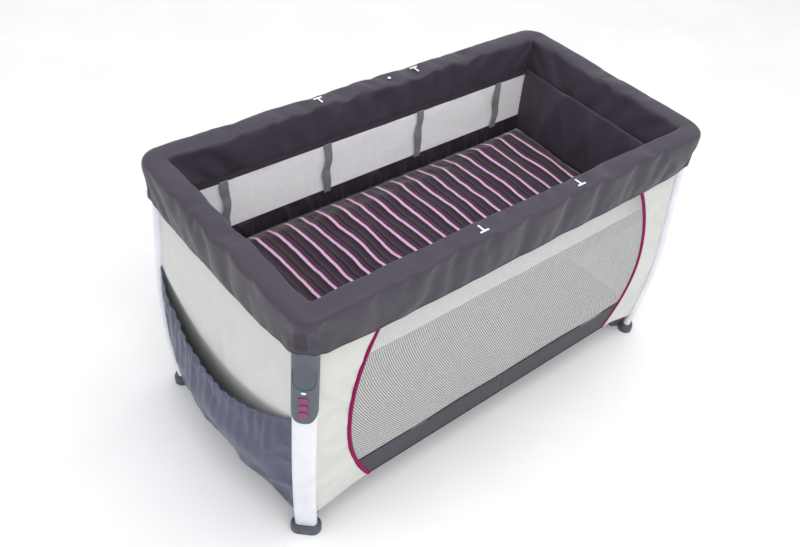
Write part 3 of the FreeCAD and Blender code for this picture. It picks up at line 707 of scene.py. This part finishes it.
def cover_section():
    """The cover's section from the outer lip over the top to the inner lip: (share across, level)."""
    shoulder = COVER_TOP - COVER_CROWN
    turned = ((0.16, 0.014), (0.13, 0.004), (0.06, -0.001), (0.0, 0.001))
    lip = [(share, COVER_HEM + rise) for share, rise in turned]
    side = [(0.0, level) for level in np.linspace(COVER_HEM + BINDING, shoulder, 10)]
    crown = []
    for turn in np.linspace(0, math.pi, 11)[1:-1]:
        share = 0.5 - 0.5 * math.copysign(abs(math.cos(turn)) ** 0.5, math.cos(turn))
        crown.append((share, shoulder + COVER_CROWN * math.sin(turn) ** 0.8))
    half = lip + side
    return half + crown + [(1 - share, level) for share, level in reversed(half)]


def rail_cover():
    """The cover once round the rails, with its bound lips and the patch marked."""
    section = cover_section()
    outer, inner = (np.array(points) for points in zip(*cover_columns()))
    share, level = np.array(section).T
    grid = np.empty((len(outer), len(section), 3))
    grid[:, :, :2] = outer[:, None] + (inner - outer)[:, None] * share[:, None]
    grid[:, :, 2] = level
    across = grid[:, -1, :2] - grid[:, 0, :2]
    across /= np.linalg.norm(across, axis=1, keepdims=True)
    shape_cover(grid, outer, across)
    obj = sheet_mesh("rail_cover", grid, "cover_nylon", round_u=True, flip=True)
    for finish in ("cover_binding", "cover_patch"):
        obj.data.materials.append(FINISHES[finish])
    per_column = len(section) - 1
    for face in obj.data.polygons:
        row = face.index % per_column
        if row < LIP_ROWS or row >= per_column - LIP_ROWS:
            face.material_index = 1
        elif on_patch(face.center):
            face.material_index = 2
    number_faces(obj, cover_piece)
    hold = np.full(grid.shape[:2], 0.05)
    hold[:, : LIP_ROWS + 1] = hold[:, -LIP_ROWS - 1 :] = 1.0
    settle(obj, hold.ravel(), grow=0.018, swell=0.3, bend=0.9, cap=0.0048)
    return obj


def shape_cover(grid, outer, across):
    """Lifts and gathers the cover's lower edge at the corners, and leaves it slack between them."""
    tall = COVER_TOP - COVER_LOW
    to_corner = np.hypot(HALF_LENGTH - abs(outer[:, 0]), HALF_WIDTH - abs(outer[:, 1]))
    near = np.exp(-((to_corner / COVER_LIFT_REACH) ** 1.5))
    low = np.clip((COVER_TOP - 0.03 - grid[:, :, 2]) / tall, 0, 1)
    grid[:, :, 2] += COVER_LIFT * near[:, None] * low
    turn = np.arange(len(outer))
    pucker = 0.5 + 0.5 * np.sin(0.9 * turn + 1.7 * np.sin(0.37 * turn))
    gathered = (COVER_PUCKER * near * pucker)[:, None] * low**2
    grid[:, :, :2] += across[:, None, :] * gathered[:, :, None]
    on_end = HALF_LENGTH - abs(outer[:, 0]) < 0.001
    ends = np.maximum(0.0, 1 - (outer[:, 1] / (HALF_WIDTH - COVER_CORNER)) ** 2) * on_end
    round_side = np.sin(np.clip((grid[:, :, 2] - COVER_LOW) / tall, 0, 1) * math.pi)
    outside = np.arange(grid.shape[1]) < grid.shape[1] / 2
    grid[:, :, 0] += np.sign(grid[:, :, 0]) * COVER_BULGE * ends[:, None] * round_side * outside
    grid[:, :, 2] += ripple(grid, 3, 0.09, COVER_SLACK)
    grid[:, :, :2] += across[:, None, :] * ripple(grid, 5, 0.05, COVER_WRINKLE)[:, :, None]


def on_patch(centre):
    """Whether a point of the cover is on the small patch at the front left corner."""
    x, y = centre.x + HALF_LENGTH - COVER_CORNER, centre.y + HALF_WIDTH - COVER_CORNER
    angle = math.degrees(math.atan2(-y, -x))
    outside = x < 0 and y < 0 and math.hypot(x, y) > COVER_CORNER - 0.02
    return outside and PATCH_TURN[0] < angle < PATCH_TURN[1] and PATCH_LEVELS[0] < centre.z < PATCH_LEVELS[1]


COVER_PIECES = [f"{kind}_cover_{corner}" for corner in CORNERS for kind in ("long", "short")]
COVER_PIECES += ["long_cover_middle_front", "long_cover_middle_back"]


def cover_piece(centre):
    """The number of the cover piece that a point belongs to."""
    side = "front" if centre.y < 0 else "back"
    corner = side + ("_left" if centre.x < 0 else "_right")
    is_long = HALF_WIDTH - abs(centre.y) < HALF_LENGTH - abs(centre.x)
    if is_long and abs(centre.x) < MIDDLE:
        return COVER_PIECES.index(f"long_cover_middle_{side}")
    return COVER_PIECES.index(f"{'long' if is_long else 'short'}_cover_{corner}")


def flatten_under_trim(obj):
    """Keeps the cover's top down where a toggle or the stud lies on it."""
    places = places_of(obj)
    middle = HALF_WIDTH - COVER_WIDTH / 2
    spots = [(sign * TOGGLE_X, side * middle) for sign in (-1, 1) for side in (-1, 1)] + [(STUD_X, middle)]
    gap = np.min([np.hypot(places[:, 0] - x, places[:, 1] - y) for x, y in spots], axis=0)
    ceiling = COVER_TOP - 0.0005 + 0.3 * np.maximum(gap - TRIM_ROOM, 0)
    places[:, 2] = np.minimum(places[:, 2], ceiling)
    put(obj, places)


def finish_cover(obj):
    flatten_under_trim(obj)
    thicken(obj, COVER_PAD)
    parts = split_pieces(obj, COVER_PIECES)
    for corner, (sx, sy) in CORNERS.items():
        long_part, short_part = parts[f"long_cover_{corner}"], parts[f"short_cover_{corner}"]
        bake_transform(long_part)
        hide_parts(f"long_rail_cover_{corner}")
        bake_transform(short_part)
        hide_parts(f"short_rail_cover_{corner}")
    for side in ("front", "back"):
        middle = parts[f"long_cover_middle_{side}"]
        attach(middle, f"latch_{side}")
        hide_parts(f"long_rail_cover_{side}_left", f"long_rail_cover_{side}_right")


# ---- the fabric sides


def window_edge(level):
    """Half the width of the netting window at a level."""
    rise = level - WINDOW_WIDEST_LEVEL
    return WINDOW_WIDEST - (WINDOW_CURVE_ABOVE if rise > 0 else WINDOW_CURVE_BELOW) * rise**2


def hem_level(along):
    """The level of a long side's lower edge: it rises from the legs to the window."""
    share = min(max((HEM_LIFT_FROM - abs(along)) / (HEM_LIFT_FROM - HEM_LIFT_TO), 0), 1)
    return HEM + HEM_LIFT * share * share * (3 - 2 * share)


def side_grid(start, end, levels, columns, sign_x, sign_y):
    """Points of a long side between two edges, each a distance from the middle at a level.

    The levels run up from the hem, and are squeezed where the hem is lifted."""
    grid = []
    top = levels[-1]
    for share in np.linspace(0, 1, columns):
        column = []
        for plain in levels:
            along = start(plain) + (end(plain) - start(plain)) * share
            squeeze = (top - plain) / (top - HEM)
            level = plain + (hem_level(along) - HEM) * squeeze if levels[0] <= HEM else plain
            along = start(level) + (end(level) - start(level)) * share
            column.append((sign_x * along, sign_y * (LEG_Y + wall_out(level)), level))
        grid.append(column)
    return np.array(grid)


def hem_path(start, end, steps, sign_x, sign_y, off):
    """A line along a long side's lower edge, off outside the cloth."""
    path = []
    for x in np.linspace(start, end, steps):
        level = hem_level(x)
        path.append((sign_x * x, sign_y * (LEG_Y + wall_out(level) + off), level))
    return path


def edges_held(shape, inside=0.0):
    """How far each point of a sheet is held: its edges wholly."""
    hold = np.full(shape, inside)
    hold[0] = hold[-1] = 1.0
    hold[:, 0] = hold[:, -1] = 1.0
    return hold.ravel()


def long_sides():
    """Each half of the front and back: cloth by the leg, netting and the strip below it."""
    made = []
    levels = np.linspace(HEM, WALL_TOP, CLOTH_ROWS)
    net_levels = np.linspace(STRIP_TOP - 0.004, WALL_TOP, 44)
    strip_levels = np.linspace(HEM, STRIP_TOP, 8)
    for corner, (sx, sy) in CORNERS.items():
        flip = sx * sy > 0
        cloth = side_grid(window_edge, lambda z: LEG_X + wall_end(z), levels, CLOTH_COLUMNS, sx, sy)
        out, up = np.abs(cloth[:, :, 0]) - 0.5, cloth[:, :, 2] - 0.35
        slant = creases(up, out, 11 + sx + 3 * sy, count=9, length=0.6, depth=0.0042, width=0.014, lean=1.4)
        cloth[:, :, 1] += sy * slant * fade_in(CLOTH_COLUMNS, 2)[:, None]
        cloth = sheet_mesh(f"side_cloth_{corner}", cloth, "wall_cloth", flip=flip)
        net = side_grid(lambda z: 0.0, window_edge, net_levels, WINDOW_COLUMNS, sx, sy)
        slack = np.clip((window_edge(0.3) - np.abs(net[:, :, 0])) / 0.1, 0, 1)
        net[:, :, 1] += sy * ripple(net, 2 + sy, 0.16, 0.003) * slack
        net = sheet_mesh(f"side_net_{corner}", net, "mesh_white", flip=flip)
        strip = side_grid(lambda z: 0.0, window_edge, strip_levels, WINDOW_COLUMNS, sx, sy)
        strip[:, :, 1] += sy * CLOTH_THICK
        strip = sheet_mesh(f"side_strip_{corner}", strip, "strip_nylon", flip=flip)
        made.append((corner, cloth, net, strip))
        settle(cloth, edges_held((CLOTH_COLUMNS, CLOTH_ROWS)), grow=0.016, bend=0.3, cap=0.006)
    return made


def finish_long_sides(made):
    window_foot = window_edge(HEM + HEM_LIFT)
    wall_foot = LEG_X + wall_end(HEM)
    for corner, cloth, net, strip in made:
        sx, sy = CORNERS[corner]
        thicken(cloth, CLOTH_THICK)
        thicken(strip, STRIP_THICK)
        levels = np.linspace(hem_level(window_edge(HEM)) - 0.002, WALL_TOP, 60)
        path = [(sx * window_edge(z), sy * (LEG_Y + wall_out(z) + CLOTH_THICK), z) for z in levels]
        piping = flat_tube(f"side_piping_{corner}", path, (sx, 0, 0), *PIPING, "piping")
        seam_y = sy * (LEG_Y + wall_out(STRIP_TOP) + 0.001)
        seam = [(sx * x, seam_y, STRIP_TOP) for x in np.linspace(0, window_edge(STRIP_TOP), 30)]
        strip_seam = flat_tube(f"side_seam_{corner}", seam, UP, *STRIP_SEAM, "cover_binding")
        bottom = hem_path(0, window_foot, 30, sx, sy, 0.0005)
        strip_hem = flat_tube(f"side_hem_{corner}", bottom, UP, *STRIP_HEM, "cover_binding")
        outer = hem_path(window_foot + 0.003, wall_foot, 20, sx, sy, 0.0003)
        cloth_hem = flat_tube(f"side_cloth_hem_{corner}", outer, UP, *CLOTH_HEM, "wall_cloth")
        slots = {"wall_cloth": (cloth, cloth_hem), "mesh_white": (net,), "piping": (piping,)}
        slots["cover_nylon"] = (strip, strip_seam, strip_hem)
        for slot, pieces in slots.items():
            for piece in pieces:
                gather_to_leg(piece, corner)
        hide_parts(f"wall_panels_{corner}")


END_COLUMNS, END_ROWS = 47, 46
END_PIECES = {side: [f"end_cloth_front_{side}", f"end_cloth_back_{side}"] for side in ("left", "right")}


def end_sides():
    """The two plain ends, each one sheet from leg to leg."""
    made = []
    levels = np.linspace(HEM, WALL_TOP, END_ROWS)
    for sign, side in ((-1, "left"), (1, "right")):
        grid = np.array([
            [(sign * (LEG_X + wall_out(z)), (LEG_Y + wall_end(z)) * share, z) for z in levels]
            for share in np.linspace(-1, 1, END_COLUMNS)
        ])
        wave = ripple(grid, 8 + sign, 0.14, 0.005)
        along, up = grid[:, :, 1], grid[:, :, 2] - 0.5
        folds = creases(along, up, 61 + sign, count=10, length=0.6, depth=0.0035, width=0.016, lean=0.9)
        grid[:, :, 0] += sign * (wave + folds) * fade_in(END_COLUMNS, 4)[:, None]
        obj = sheet_mesh(f"end_cloth_{side}", grid, "wall_cloth", flip=sign > 0)
        number_faces(obj, lambda centre: 0 if centre.y < 0 else 1)
        settle(obj, edges_held((END_COLUMNS, END_ROWS)), grow=0.010, bend=0.3, cap=0.005)
        made.append((sign, side, obj))
    return made


def lie_inside_pocket(whole):
    """Keeps the left end's cloth just inside the pocket that is sewn on it."""
    places = places_of(whole)
    for point in places:
        above = point[2] - pocket_mouth(point[1] / (LEG_Y + wall_end(point[2])))
        room = 0.0004 + 0.3 * min(max(above, 0), 0.1)
        point[0] = max(point[0], -(LEG_X + wall_out(point[2]) + room))
    put(whole, places)


def finish_end_sides(made):
    for sx, side, whole in made:
        if sx < 0:
            lie_inside_pocket(whole)
        subdivided(whole)
        halves = split_pieces(whole, END_PIECES[side])
        for name, sy, corner in zip(END_PIECES[side], (-1, 1), (f"front_{side}", f"back_{side}")):
            ys = np.linspace(0, LEG_Y + wall_end(HEM), 20)
            path = [(sx * (LEG_X + wall_out(HEM)), sy * y, HEM) for y in ys]
            hem = flat_tube(f"end_hem_{corner}", path, UP, *CLOTH_HEM, "wall_cloth")
            for piece in (halves[name], hem):
                gather_to_leg(piece, corner)
            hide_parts(f"wall_panels_{corner}")


# ---- the pocket


POCKET_COLUMNS, POCKET_ROWS = 97, 34
POCKET_PIECES = ["pocket_front_half", "pocket_back_half"]


def pocket_mouth(across):
    """The level of the pocket's mouth, across from -1 to 1."""
    return POCKET_MIDDLE_TOP + (POCKET_SIDE_TOP - POCKET_MIDDLE_TOP) * across**2


def pocket_point(across, up, pleat=0.0):
    """A point on the pocket: across from -1 to 1, up from its bottom seam, 0, to its mouth, 1."""
    level = POCKET_LOW + (pocket_mouth(across) - POCKET_LOW) * up
    swell = math.sin(math.pi / 2 * min(up / 0.62, 1)) ** 0.8 * (1 - abs(across) ** 2.4) ** 0.9
    tuck = 1 - 0.42 * max(2 * up - 1, 0) ** 1.5
    out = LEG_X + wall_out(level) + POCKET_STAND + POCKET_BELLY * swell * tuck - pleat
    y = across * (LEG_Y + wall_end(level) + 0.001)
    return (-out, y, level)


def pocket():
    grid = []
    random = np.random.default_rng(21)
    phase = np.cumsum(random.uniform(0.5, 1.3, POCKET_COLUMNS))
    for column in range(POCKET_COLUMNS):
        across = -1 + 2 * column / (POCKET_COLUMNS - 1)
        gather = (1 - abs(across) ** 4) * (0.5 + 0.5 * math.sin(phase[column] * 1.35))
        points = []
        for row in range(POCKET_ROWS):
            up = row / (POCKET_ROWS - 1)
            pleat = 0.0050 * gather * math.exp((up - 1) * 3.4) + 0.0022 * gather * math.exp(-up * 9)
            points.append(pocket_point(across, up, pleat))
        grid.append(points)
    grid = np.array(grid)
    grid[:, :, 0] += ripple(grid, 9, 0.07, 0.006) * fade_in(POCKET_COLUMNS, 6)[:, None]
    obj = sheet_mesh("pocket", grid, "pocket_nylon")
    number_faces(obj, lambda centre: 0 if centre.y < 0 else 1)
    hold = edges_held((POCKET_COLUMNS, POCKET_ROWS), 0.04)
    settle(obj, hold, grow=0.03, gravity=0.3, bend=0.3, cap=0.009)
    return obj


def finish_pocket(obj):
    places = places_of(obj)
    least = np.array([LEG_X + wall_out(level) + 0.8 * POCKET_STAND for level in places[:, 2]])
    places[:, 0] = np.minimum(places[:, 0], -least)
    put(obj, places)
    sewn = places_of(obj).reshape(POCKET_COLUMNS, POCKET_ROWS, 3)
    subdivided(obj)
    halves = split_pieces(obj, POCKET_PIECES)
    middle = POCKET_COLUMNS // 2
    spans = (slice(0, middle + 1), slice(middle, None))
    for name, corner, span in zip(POCKET_PIECES, ("front_left", "back_left"), spans):
        half = halves[name]
        elastic = flat_tube(name + "_elastic", sewn[span, -1], UP, *POCKET_ELASTIC, "pocket_nylon")
        piping = flat_tube(name + "_seam", sewn[span, 0], UP, *POCKET_SEAM, "cover_binding")
        for piece in (half, elastic, piping):
            gather_to_leg(piece, corner)
        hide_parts("side_pocket")


# ---- the insert


LINER_FLOOR = LINER_LOW.z + 0.003


def upright_sheet(along, levels, out, way=0):
    """Points of a flat upright sheet that runs along X (way 0) or Y (way 1), out from the middle."""
    point = (lambda a, z: (a, out, z)) if way == 0 else (lambda a, z: (out, a, z))
    return np.array([[point(a, z) for z in levels] for a in along])


def insert_net(sign, side, half_x, half_y):
    inside = half_x - LINER_WALL
    levels = np.linspace(BAND_TOP, LINER_HIGH.z, 12)
    net = upright_sheet(np.linspace(-inside, inside, 110), levels, sign * (half_y - NET_IN))
    wave = ripple(net, 14 + sign, 0.09, 0.0022)
    net[:, 1:-1, 1] += sign * np.minimum(wave[:, 1:-1], 0.0012)
    net = sheet_mesh(f"insert_net_{side}", net, "mesh_fine", flip=sign > 0)
    return net


def insert_band(sign, side, half_x, half_y):
    """The gathered dark band below the netting."""
    inside = half_x - LINER_WALL
    grid = upright_sheet(np.linspace(-inside, inside, 460), np.linspace(LINER_FLOOR, BAND_TOP, 12),
                         sign * (half_y - BAND_IN))
    along, up = grid[:, :, 0], grid[:, :, 2] - BAND_TOP
    fold = creases(along, up, 31 + sign, count=55, length=2 * inside, depth=0.0060, width=0.0085, lean=0.45)
    shape = np.sin(np.linspace(0.10, 0.92, 12) * math.pi)
    grid[:, :, 1] -= sign * np.minimum(fold, BAND_DEEPEST) * shape
    band = thicken(sheet_mesh(f"insert_band_{side}", grid, "band_cloth", flip=sign > 0), BAND_THICK, 0)
    return band


def insert_tape(sign, side, half_x, half_y):
    """The tape over the seam between the band and the netting."""
    inside = half_x - LINER_WALL
    path = [(x, sign * (half_y - TAPE_IN), BAND_TOP) for x in np.linspace(-inside, inside, 120)]
    return flat_tube(f"insert_tape_{side}", path, UP, *BAND_TAPE, "cover_binding")


def insert_flap(sign, side, half_x, half_y):
    """The cloth edge above the netting, which goes up behind the rail's cover."""
    levels = np.linspace(LINER_HIGH.z - FLAP_TUCK, LINER_HIGH.z + FLAP_HEIGHT, 5)
    flap = upright_sheet(np.linspace(-half_x, half_x, 150), levels, sign * (half_y - BAND_IN))
    flap[:, :, 1] -= sign * np.maximum(ripple(flap, 71 + sign, 0.05, 0.0016), 0)
    flap = sheet_mesh(f"insert_flap_{side}", flap, "cover_nylon", flip=sign > 0)
    return flap


def insert_end(sign, side, half_x, half_y):
    """A padded end with soft upright folds."""
    inside = half_y - LINER_WALL
    levels = np.linspace(LINER_FLOOR, LINER_HIGH.z + FLAP_HEIGHT, 24)
    grid = upright_sheet(np.linspace(-inside, inside, 200), levels, sign * (half_x - NET_IN), way=1)
    along, up = grid[:, :, 1], grid[:, :, 2] - 0.5
    fold = creases(along, up, 41 + sign, count=12, length=2 * inside, depth=0.0075, width=0.020, lean=0.5)
    quilt = QUILT_DEPTH * (0.5 + 0.5 * np.sin(along * 2 * math.pi / QUILT_STEP))
    shape = np.sin(np.linspace(0.06, 0.94, 24) * math.pi) ** 0.7
    grid[:, :, 0] -= sign * (fold + quilt) * shape
    end = thicken(sheet_mesh(f"insert_end_{side}", grid, "liner_cloth", flip=sign < 0), END_THICK, 0)
    return end


def insert_floor(half_x, half_y):
    quarter = math.pi / 2
    grid = []
    for x in np.linspace(-half_x, half_x, 60):
        sag = FLOOR_SAG * math.cos(x / half_x * quarter)
        ys = np.linspace(-half_y, half_y, 30)
        grid.append([(x, y, LINER_FLOOR - 0.001 - sag * math.cos(y / half_y * quarter)) for y in ys])
    floor = thicken(sheet_mesh("insert_floor", grid, "liner_cloth"), FLOOR_THICK, 0)
    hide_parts("bassinet_liner")
    return floor


def insert():
    """The insert's netting, gathered bands, straps, padded ends and floor."""
    half_x, half_y = LINER_HIGH.x, LINER_HIGH.y
    pieces = []
    for sign, side in ((-1, "front"), (1, "back")):
        where = (sign, side, half_x, half_y)
        pieces.append((insert_net(*where), "mesh_white"))
        pieces += [(make(*where), "liner_cloth") for make in (insert_band, insert_tape, insert_flap)]
        pieces += [(insert_strap(place, sign, side, half_y), "webbing") for place in STRAP_PLACES]
    for sign, side in ((-1, "left"), (1, "right")):
        pieces.append((insert_end(sign, side, half_x, half_y), "liner_cloth"))
    pieces.append((insert_floor(half_x, half_y), "liner_cloth"))
    for piece, slot in pieces:
        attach(piece, "bassinet")


def insert_strap(place, sign, side, half_y):
    """A webbing strap on the inside of the insert's netting, a little slack and wavy."""
    rows = 26
    low, high = BAND_TOP - 0.004, LINER_HIGH.z + 0.004
    seed = place * 37 + sign
    grid = []
    for share in np.linspace(0, 1, 5):
        column = []
        for row in range(rows):
            up = row / (rows - 1)
            sway = 0.0045 * math.sin(up * 2 * math.pi * 1.3 + seed) * math.sin(math.pi * up)
            slack = 0.003 + 0.0045 * abs(math.sin(up * math.pi * 2.2 + seed * 0.7)) * math.sin(math.pi * up)
            x = place + (share - 0.5) * STRAP_WIDTH * (1 - 0.1 * math.sin(up * 9 + seed)) + sway
            column.append((x, sign * (half_y - LINER_WALL - slack), low + (high - low) * up))
        grid.append(column)
    number = STRAP_PLACES.index(place) + 1
    strap = sheet_mesh(f"insert_strap_{side}_{number}", grid, "webbing", flip=sign > 0)
    thicken(strap, STRAP_THICK)
    return strap


# ---- the mattress


MATTRESS_TAKEN_IN = 0.004
MATTRESS_VOXEL = 0.0065
MATTRESS_SHOULDER = 0.04
MATTRESS_DROP = 0.009
MATTRESS_EDGE = 0.009
MATTRESS_SPREAD = 0.001


def mattress_pad():
    """The mattress as a closed pad, remeshed so that it can swell."""
    half = (MATTRESS_HIGH - MATTRESS_LOW) / 2
    half_x, half_y = half.x - MATTRESS_TAKEN_IN, half.y - MATTRESS_TAKEN_IN
    low, high = MATTRESS_LOW.z, MATTRESS_HIGH.z - 0.002
    bpy.ops.mesh.primitive_cube_add(size=1)
    pad = bpy.context.active_object
    pad.name = "mattress_pad"
    places = places_of(pad) * np.array([2 * half_x, 2 * half_y, high - low])
    places[:, 2] += (low + high) / 2
    put(pad, places)
    bevel = pad.modifiers.new("edges", "BEVEL")
    bevel.width, bevel.segments = MATTRESS_EDGE, 3
    remesh = pad.modifiers.new("cells", "REMESH")
    remesh.mode, remesh.voxel_size = "VOXEL", MATTRESS_VOXEL
    baked(pad)
    places = places_of(pad)
    top = np.clip((places[:, 2] - low) / (high - low), 0, 1)
    from_edge = np.array([half_x, half_y]) - np.abs(places[:, :2])
    inner = np.clip(from_edge / MATTRESS_SHOULDER, 0, 1).prod(1)
    wave = ripple(places * np.array([1, 0.8, 1]), 17, 0.085, 0.0075)
    places[:, 2] += top * (wave * inner - MATTRESS_DROP * (1 - inner))
    put(pad, places)
    hold = np.where(places[:, 2] < low + 0.003, 0.9, 0.06)
    settle(pad, hold, grow=0.01, swell=4.0, bend=1.0, cap=0.008)
    return pad


def finish_mattress(pad):
    places = places_of(pad)
    places[:, 2] = np.maximum(places[:, 2], MATTRESS_LOW.z)
    for way in (0, 1):
        places[:, way] = np.clip(places[:, way], MATTRESS_LOW[way] - MATTRESS_SPREAD,
                                  MATTRESS_HIGH[way] + MATTRESS_SPREAD)
    put(pad, places)
    subdivided(pad)
    pad.data.materials.clear()
    pad.data.materials.append(FINISHES["mattress_cloth"])
    pad.data.polygons.foreach_set("use_smooth", [True] * len(pad.data.polygons))
    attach(pad, "mattress")
    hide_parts("mattress")


# ---- the floor and its strap


FLOOR_SLOT_X, FLOOR_SLOT_Y = 0.035, 0.0175
FLOOR_CORNER_CUT = 0.060
FLOOR_CLOTH_THICK = 0.0016
PULL_STRAP_LENGTH, PULL_STRAP_THICK = 0.19, 0.0022


def floor_cloth():
    """The fabric floor with its cut corners, and the slot that the pull strap comes through."""
    half_x, half_y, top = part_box("floor_panel")[1]
    slot = FLOOR_SLOT_Y / half_y
    xs = np.unique(np.append(np.linspace(-half_x, half_x, 61), (-FLOOR_SLOT_X, FLOOR_SLOT_X)))
    ys = np.unique(np.append(np.linspace(-1, 1, 31), (-slot, slot)))
    grid = []
    for x in xs:
        reach = half_y - max(0.0, abs(x) - (half_x - FLOOR_CORNER_CUT))
        grid.append([(x, y * reach if abs(y) > 0.2 else y * half_y, top) for y in ys])
    grid = np.array(grid)
    grid[:, :, 2] += np.maximum(ripple(grid, 23, 0.12, 0.004), -0.001)
    floor = sheet_mesh("floor_cloth", grid, "floor_cloth",
                       keep=lambda c: not (abs(c[0]) < FLOOR_SLOT_X and abs(c[1]) < FLOOR_SLOT_Y))
    thicken(floor, FLOOR_CLOTH_THICK, 0)
    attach(floor, "hub")
    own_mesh(floor)
    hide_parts("floor_panel")


def pull_strap():
    low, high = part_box("pull_strap")
    half, width = high.x - 0.001, high.y
    radius = half / 2
    path = [(-half, low.z)] + [
        (-half + radius - radius * math.cos(a), high.z - 0.001 - radius + radius * math.sin(a))
        for a in np.linspace(0, math.pi / 2, 8)
    ]
    path += [(-x, z) for x, z in reversed(path)]
    grid = [[(x, y, z) for x, z in path] for y in np.linspace(-width, width, 6)]
    strap = thicken(sheet_mesh("pull_strap_webbing", grid, "webbing"), PULL_STRAP_THICK)
    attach(strap, "hub")
    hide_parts("pull_strap")


# ---- small things


def turned_piece(name, profile, centre, axis, finish, stretch=1.0):
    """A round moulding from its profile of (radius, height), stretched across its axis."""
    axis = Vector(axis).normalized()
    side = axis.orthogonal().normalized() if abs(axis.z) > 0.9 else Vector((-axis.y, axis.x, 0)).normalized()
    other = axis.cross(side)
    grid = []
    for angle in np.linspace(0, 2 * math.pi, 24, endpoint=False):
        ray = side * math.cos(angle) * stretch + other * math.sin(angle)
        grid.append([tuple(Vector(centre) + ray * radius + axis * height) for radius, height in profile])
    return sheet_mesh(name, grid, finish, round_u=True)


def rail_stud():
    """The round press stud on top of the back rail."""
    profile = [(0.0046, 0.0), (0.0044, 0.0012), (0.0034, 0.0019), (0.0020, 0.0015), (0.0004, 0.0017)]
    centre = (STUD_X, HALF_WIDTH - COVER_WIDTH / 2, COVER_TOP + 0.0002)
    stud = turned_piece("rail_press_stud", profile, centre, (0, 0, 1), "white_plastic")
    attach(stud, "latch_back")


def module_lens():
    """The clear lens over the module's lamp."""
    low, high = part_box("module_inserts")
    level = low.z + LENS_RISE
    out = (bow(level) + MODULE_FACE) / math.sqrt(2)
    centre = (-LEG_X - out, -LEG_Y - out, level)
    profile = [(0.0036, 0.0008), (0.0035, 0.0014), (0.0028, 0.0021), (0.0016, 0.0025), (0.0003, 0.0026)]
    lens = turned_piece("module_lamp_lens", profile, centre, (-1, -1, 0), "lens", 1.6)
    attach(lens, "leg_front_left")


CAD_FINISHES = (
    ("leg_profile", "white_leg"),
    ("rail_toggle", "white_plastic"),
    ("module_housing", "module_grey"),
    ("module_inserts", "module_dark"),
    ("module_button", "magenta_plastic"),
    ("latch_button", "button_grey"),
    ("hub_pins", "rivet"),
    ("floor_arm", "steel_tube"),
    ("long_rail", "steel_tube"),
    ("short_rail", "steel_tube"),
    ("", "moulding"),
)


def dress_cad():
    """Gives each CAD node that stays in view its own finish."""
    for name, obj in frame["nodes"].items():
        finish = next(finish for start, finish in CAD_FINISHES if name.startswith(start))
        obj.data.materials.clear()
        obj.data.materials.append(FINISHES[finish])


# ---- camera, light, floor


CAMERA_PLACE = (-1.267, -1.290, 1.921)
CAMERA_YAW, CAMERA_PITCH, CAMERA_ROLL = (math.radians(a) for a in (46.63, 40.60, 8.42))
CAMERA_LENS = 39.6
CAMERA_SHIFT = (-0.0695, -0.01975)


def camera():
    data = bpy.data.cameras.new("camera")
    data.sensor_width = 36
    data.lens = CAMERA_LENS
    data.shift_x, data.shift_y = CAMERA_SHIFT
    data.clip_end = 60
    obj = added("camera", data)
    ahead = Vector((
        math.cos(CAMERA_PITCH) * math.sin(CAMERA_YAW),
        math.cos(CAMERA_PITCH) * math.cos(CAMERA_YAW),
        -math.sin(CAMERA_PITCH),
    ))
    level = Vector((math.cos(CAMERA_YAW), -math.sin(CAMERA_YAW), 0))
    above = level.cross(ahead)
    right = level * math.cos(CAMERA_ROLL) + above * math.sin(CAMERA_ROLL)
    up = above * math.cos(CAMERA_ROLL) - level * math.sin(CAMERA_ROLL)
    turn = Matrix((right, up, -ahead)).transposed().to_4x4()
    obj.matrix_world = Matrix.Translation(CAMERA_PLACE) @ turn
    bpy.context.scene.camera = obj


def lamp(name, place, size, power, colour=(1, 1, 1)):
    """A soft square light that faces the middle of the object."""
    data = bpy.data.lights.new(name, "AREA")
    data.energy, data.size, data.color = power, size, colour
    obj = added(name, data)
    obj.location = place
    obj.rotation_euler = (Vector((0, 0, 0.4)) - Vector(place)).to_track_quat("-Z", "Y").to_euler()


def studio():
    floor = Finish("studio_floor", Roughness=0.9)
    grain = floor.noise(floor.place(), 3.0, 3.0)
    floor.colour(floor.ramp(grain, [(0.3, (0.88, 0.88, 0.88)), (0.7, (0.92, 0.92, 0.92))]))
    bpy.ops.mesh.primitive_plane_add(size=40)
    plane = bpy.context.active_object
    plane.name = "studio_floor"
    plane.data.materials.append(floor.material)
    world = bpy.data.worlds.new("studio")
    bpy.context.scene.world = world
    world.use_nodes = True
    background = world.node_tree.nodes["Background"]
    background.inputs["Color"].default_value = (0.97, 0.98, 1.0, 1.0)
    background.inputs["Strength"].default_value = 0.93
    lamp("key_light", (-1.2, -3.0, 3.6), 2.6, 46, (1.0, 0.99, 0.97))
    lamp("fill_light", (-3.6, 0.6, 2.2), 2.6, 8, (0.86, 0.92, 1.0))
    lamp("top_light", (0.2, -0.5, 3.4), 2.4, 34)
    bpy.context.scene.view_settings.view_transform = "Standard"


camera()
studio()
dress_cad()
cover, sides, ends, bag, pad = rail_cover(), long_sides(), end_sides(), pocket(), mattress_pad()
run_cloth()
finish_cover(cover)
finish_long_sides(sides)
finish_end_sides(ends)
finish_pocket(bag)
finish_mattress(pad)
insert()
floor_cloth()
pull_strap()
rail_stud()
module_lens()
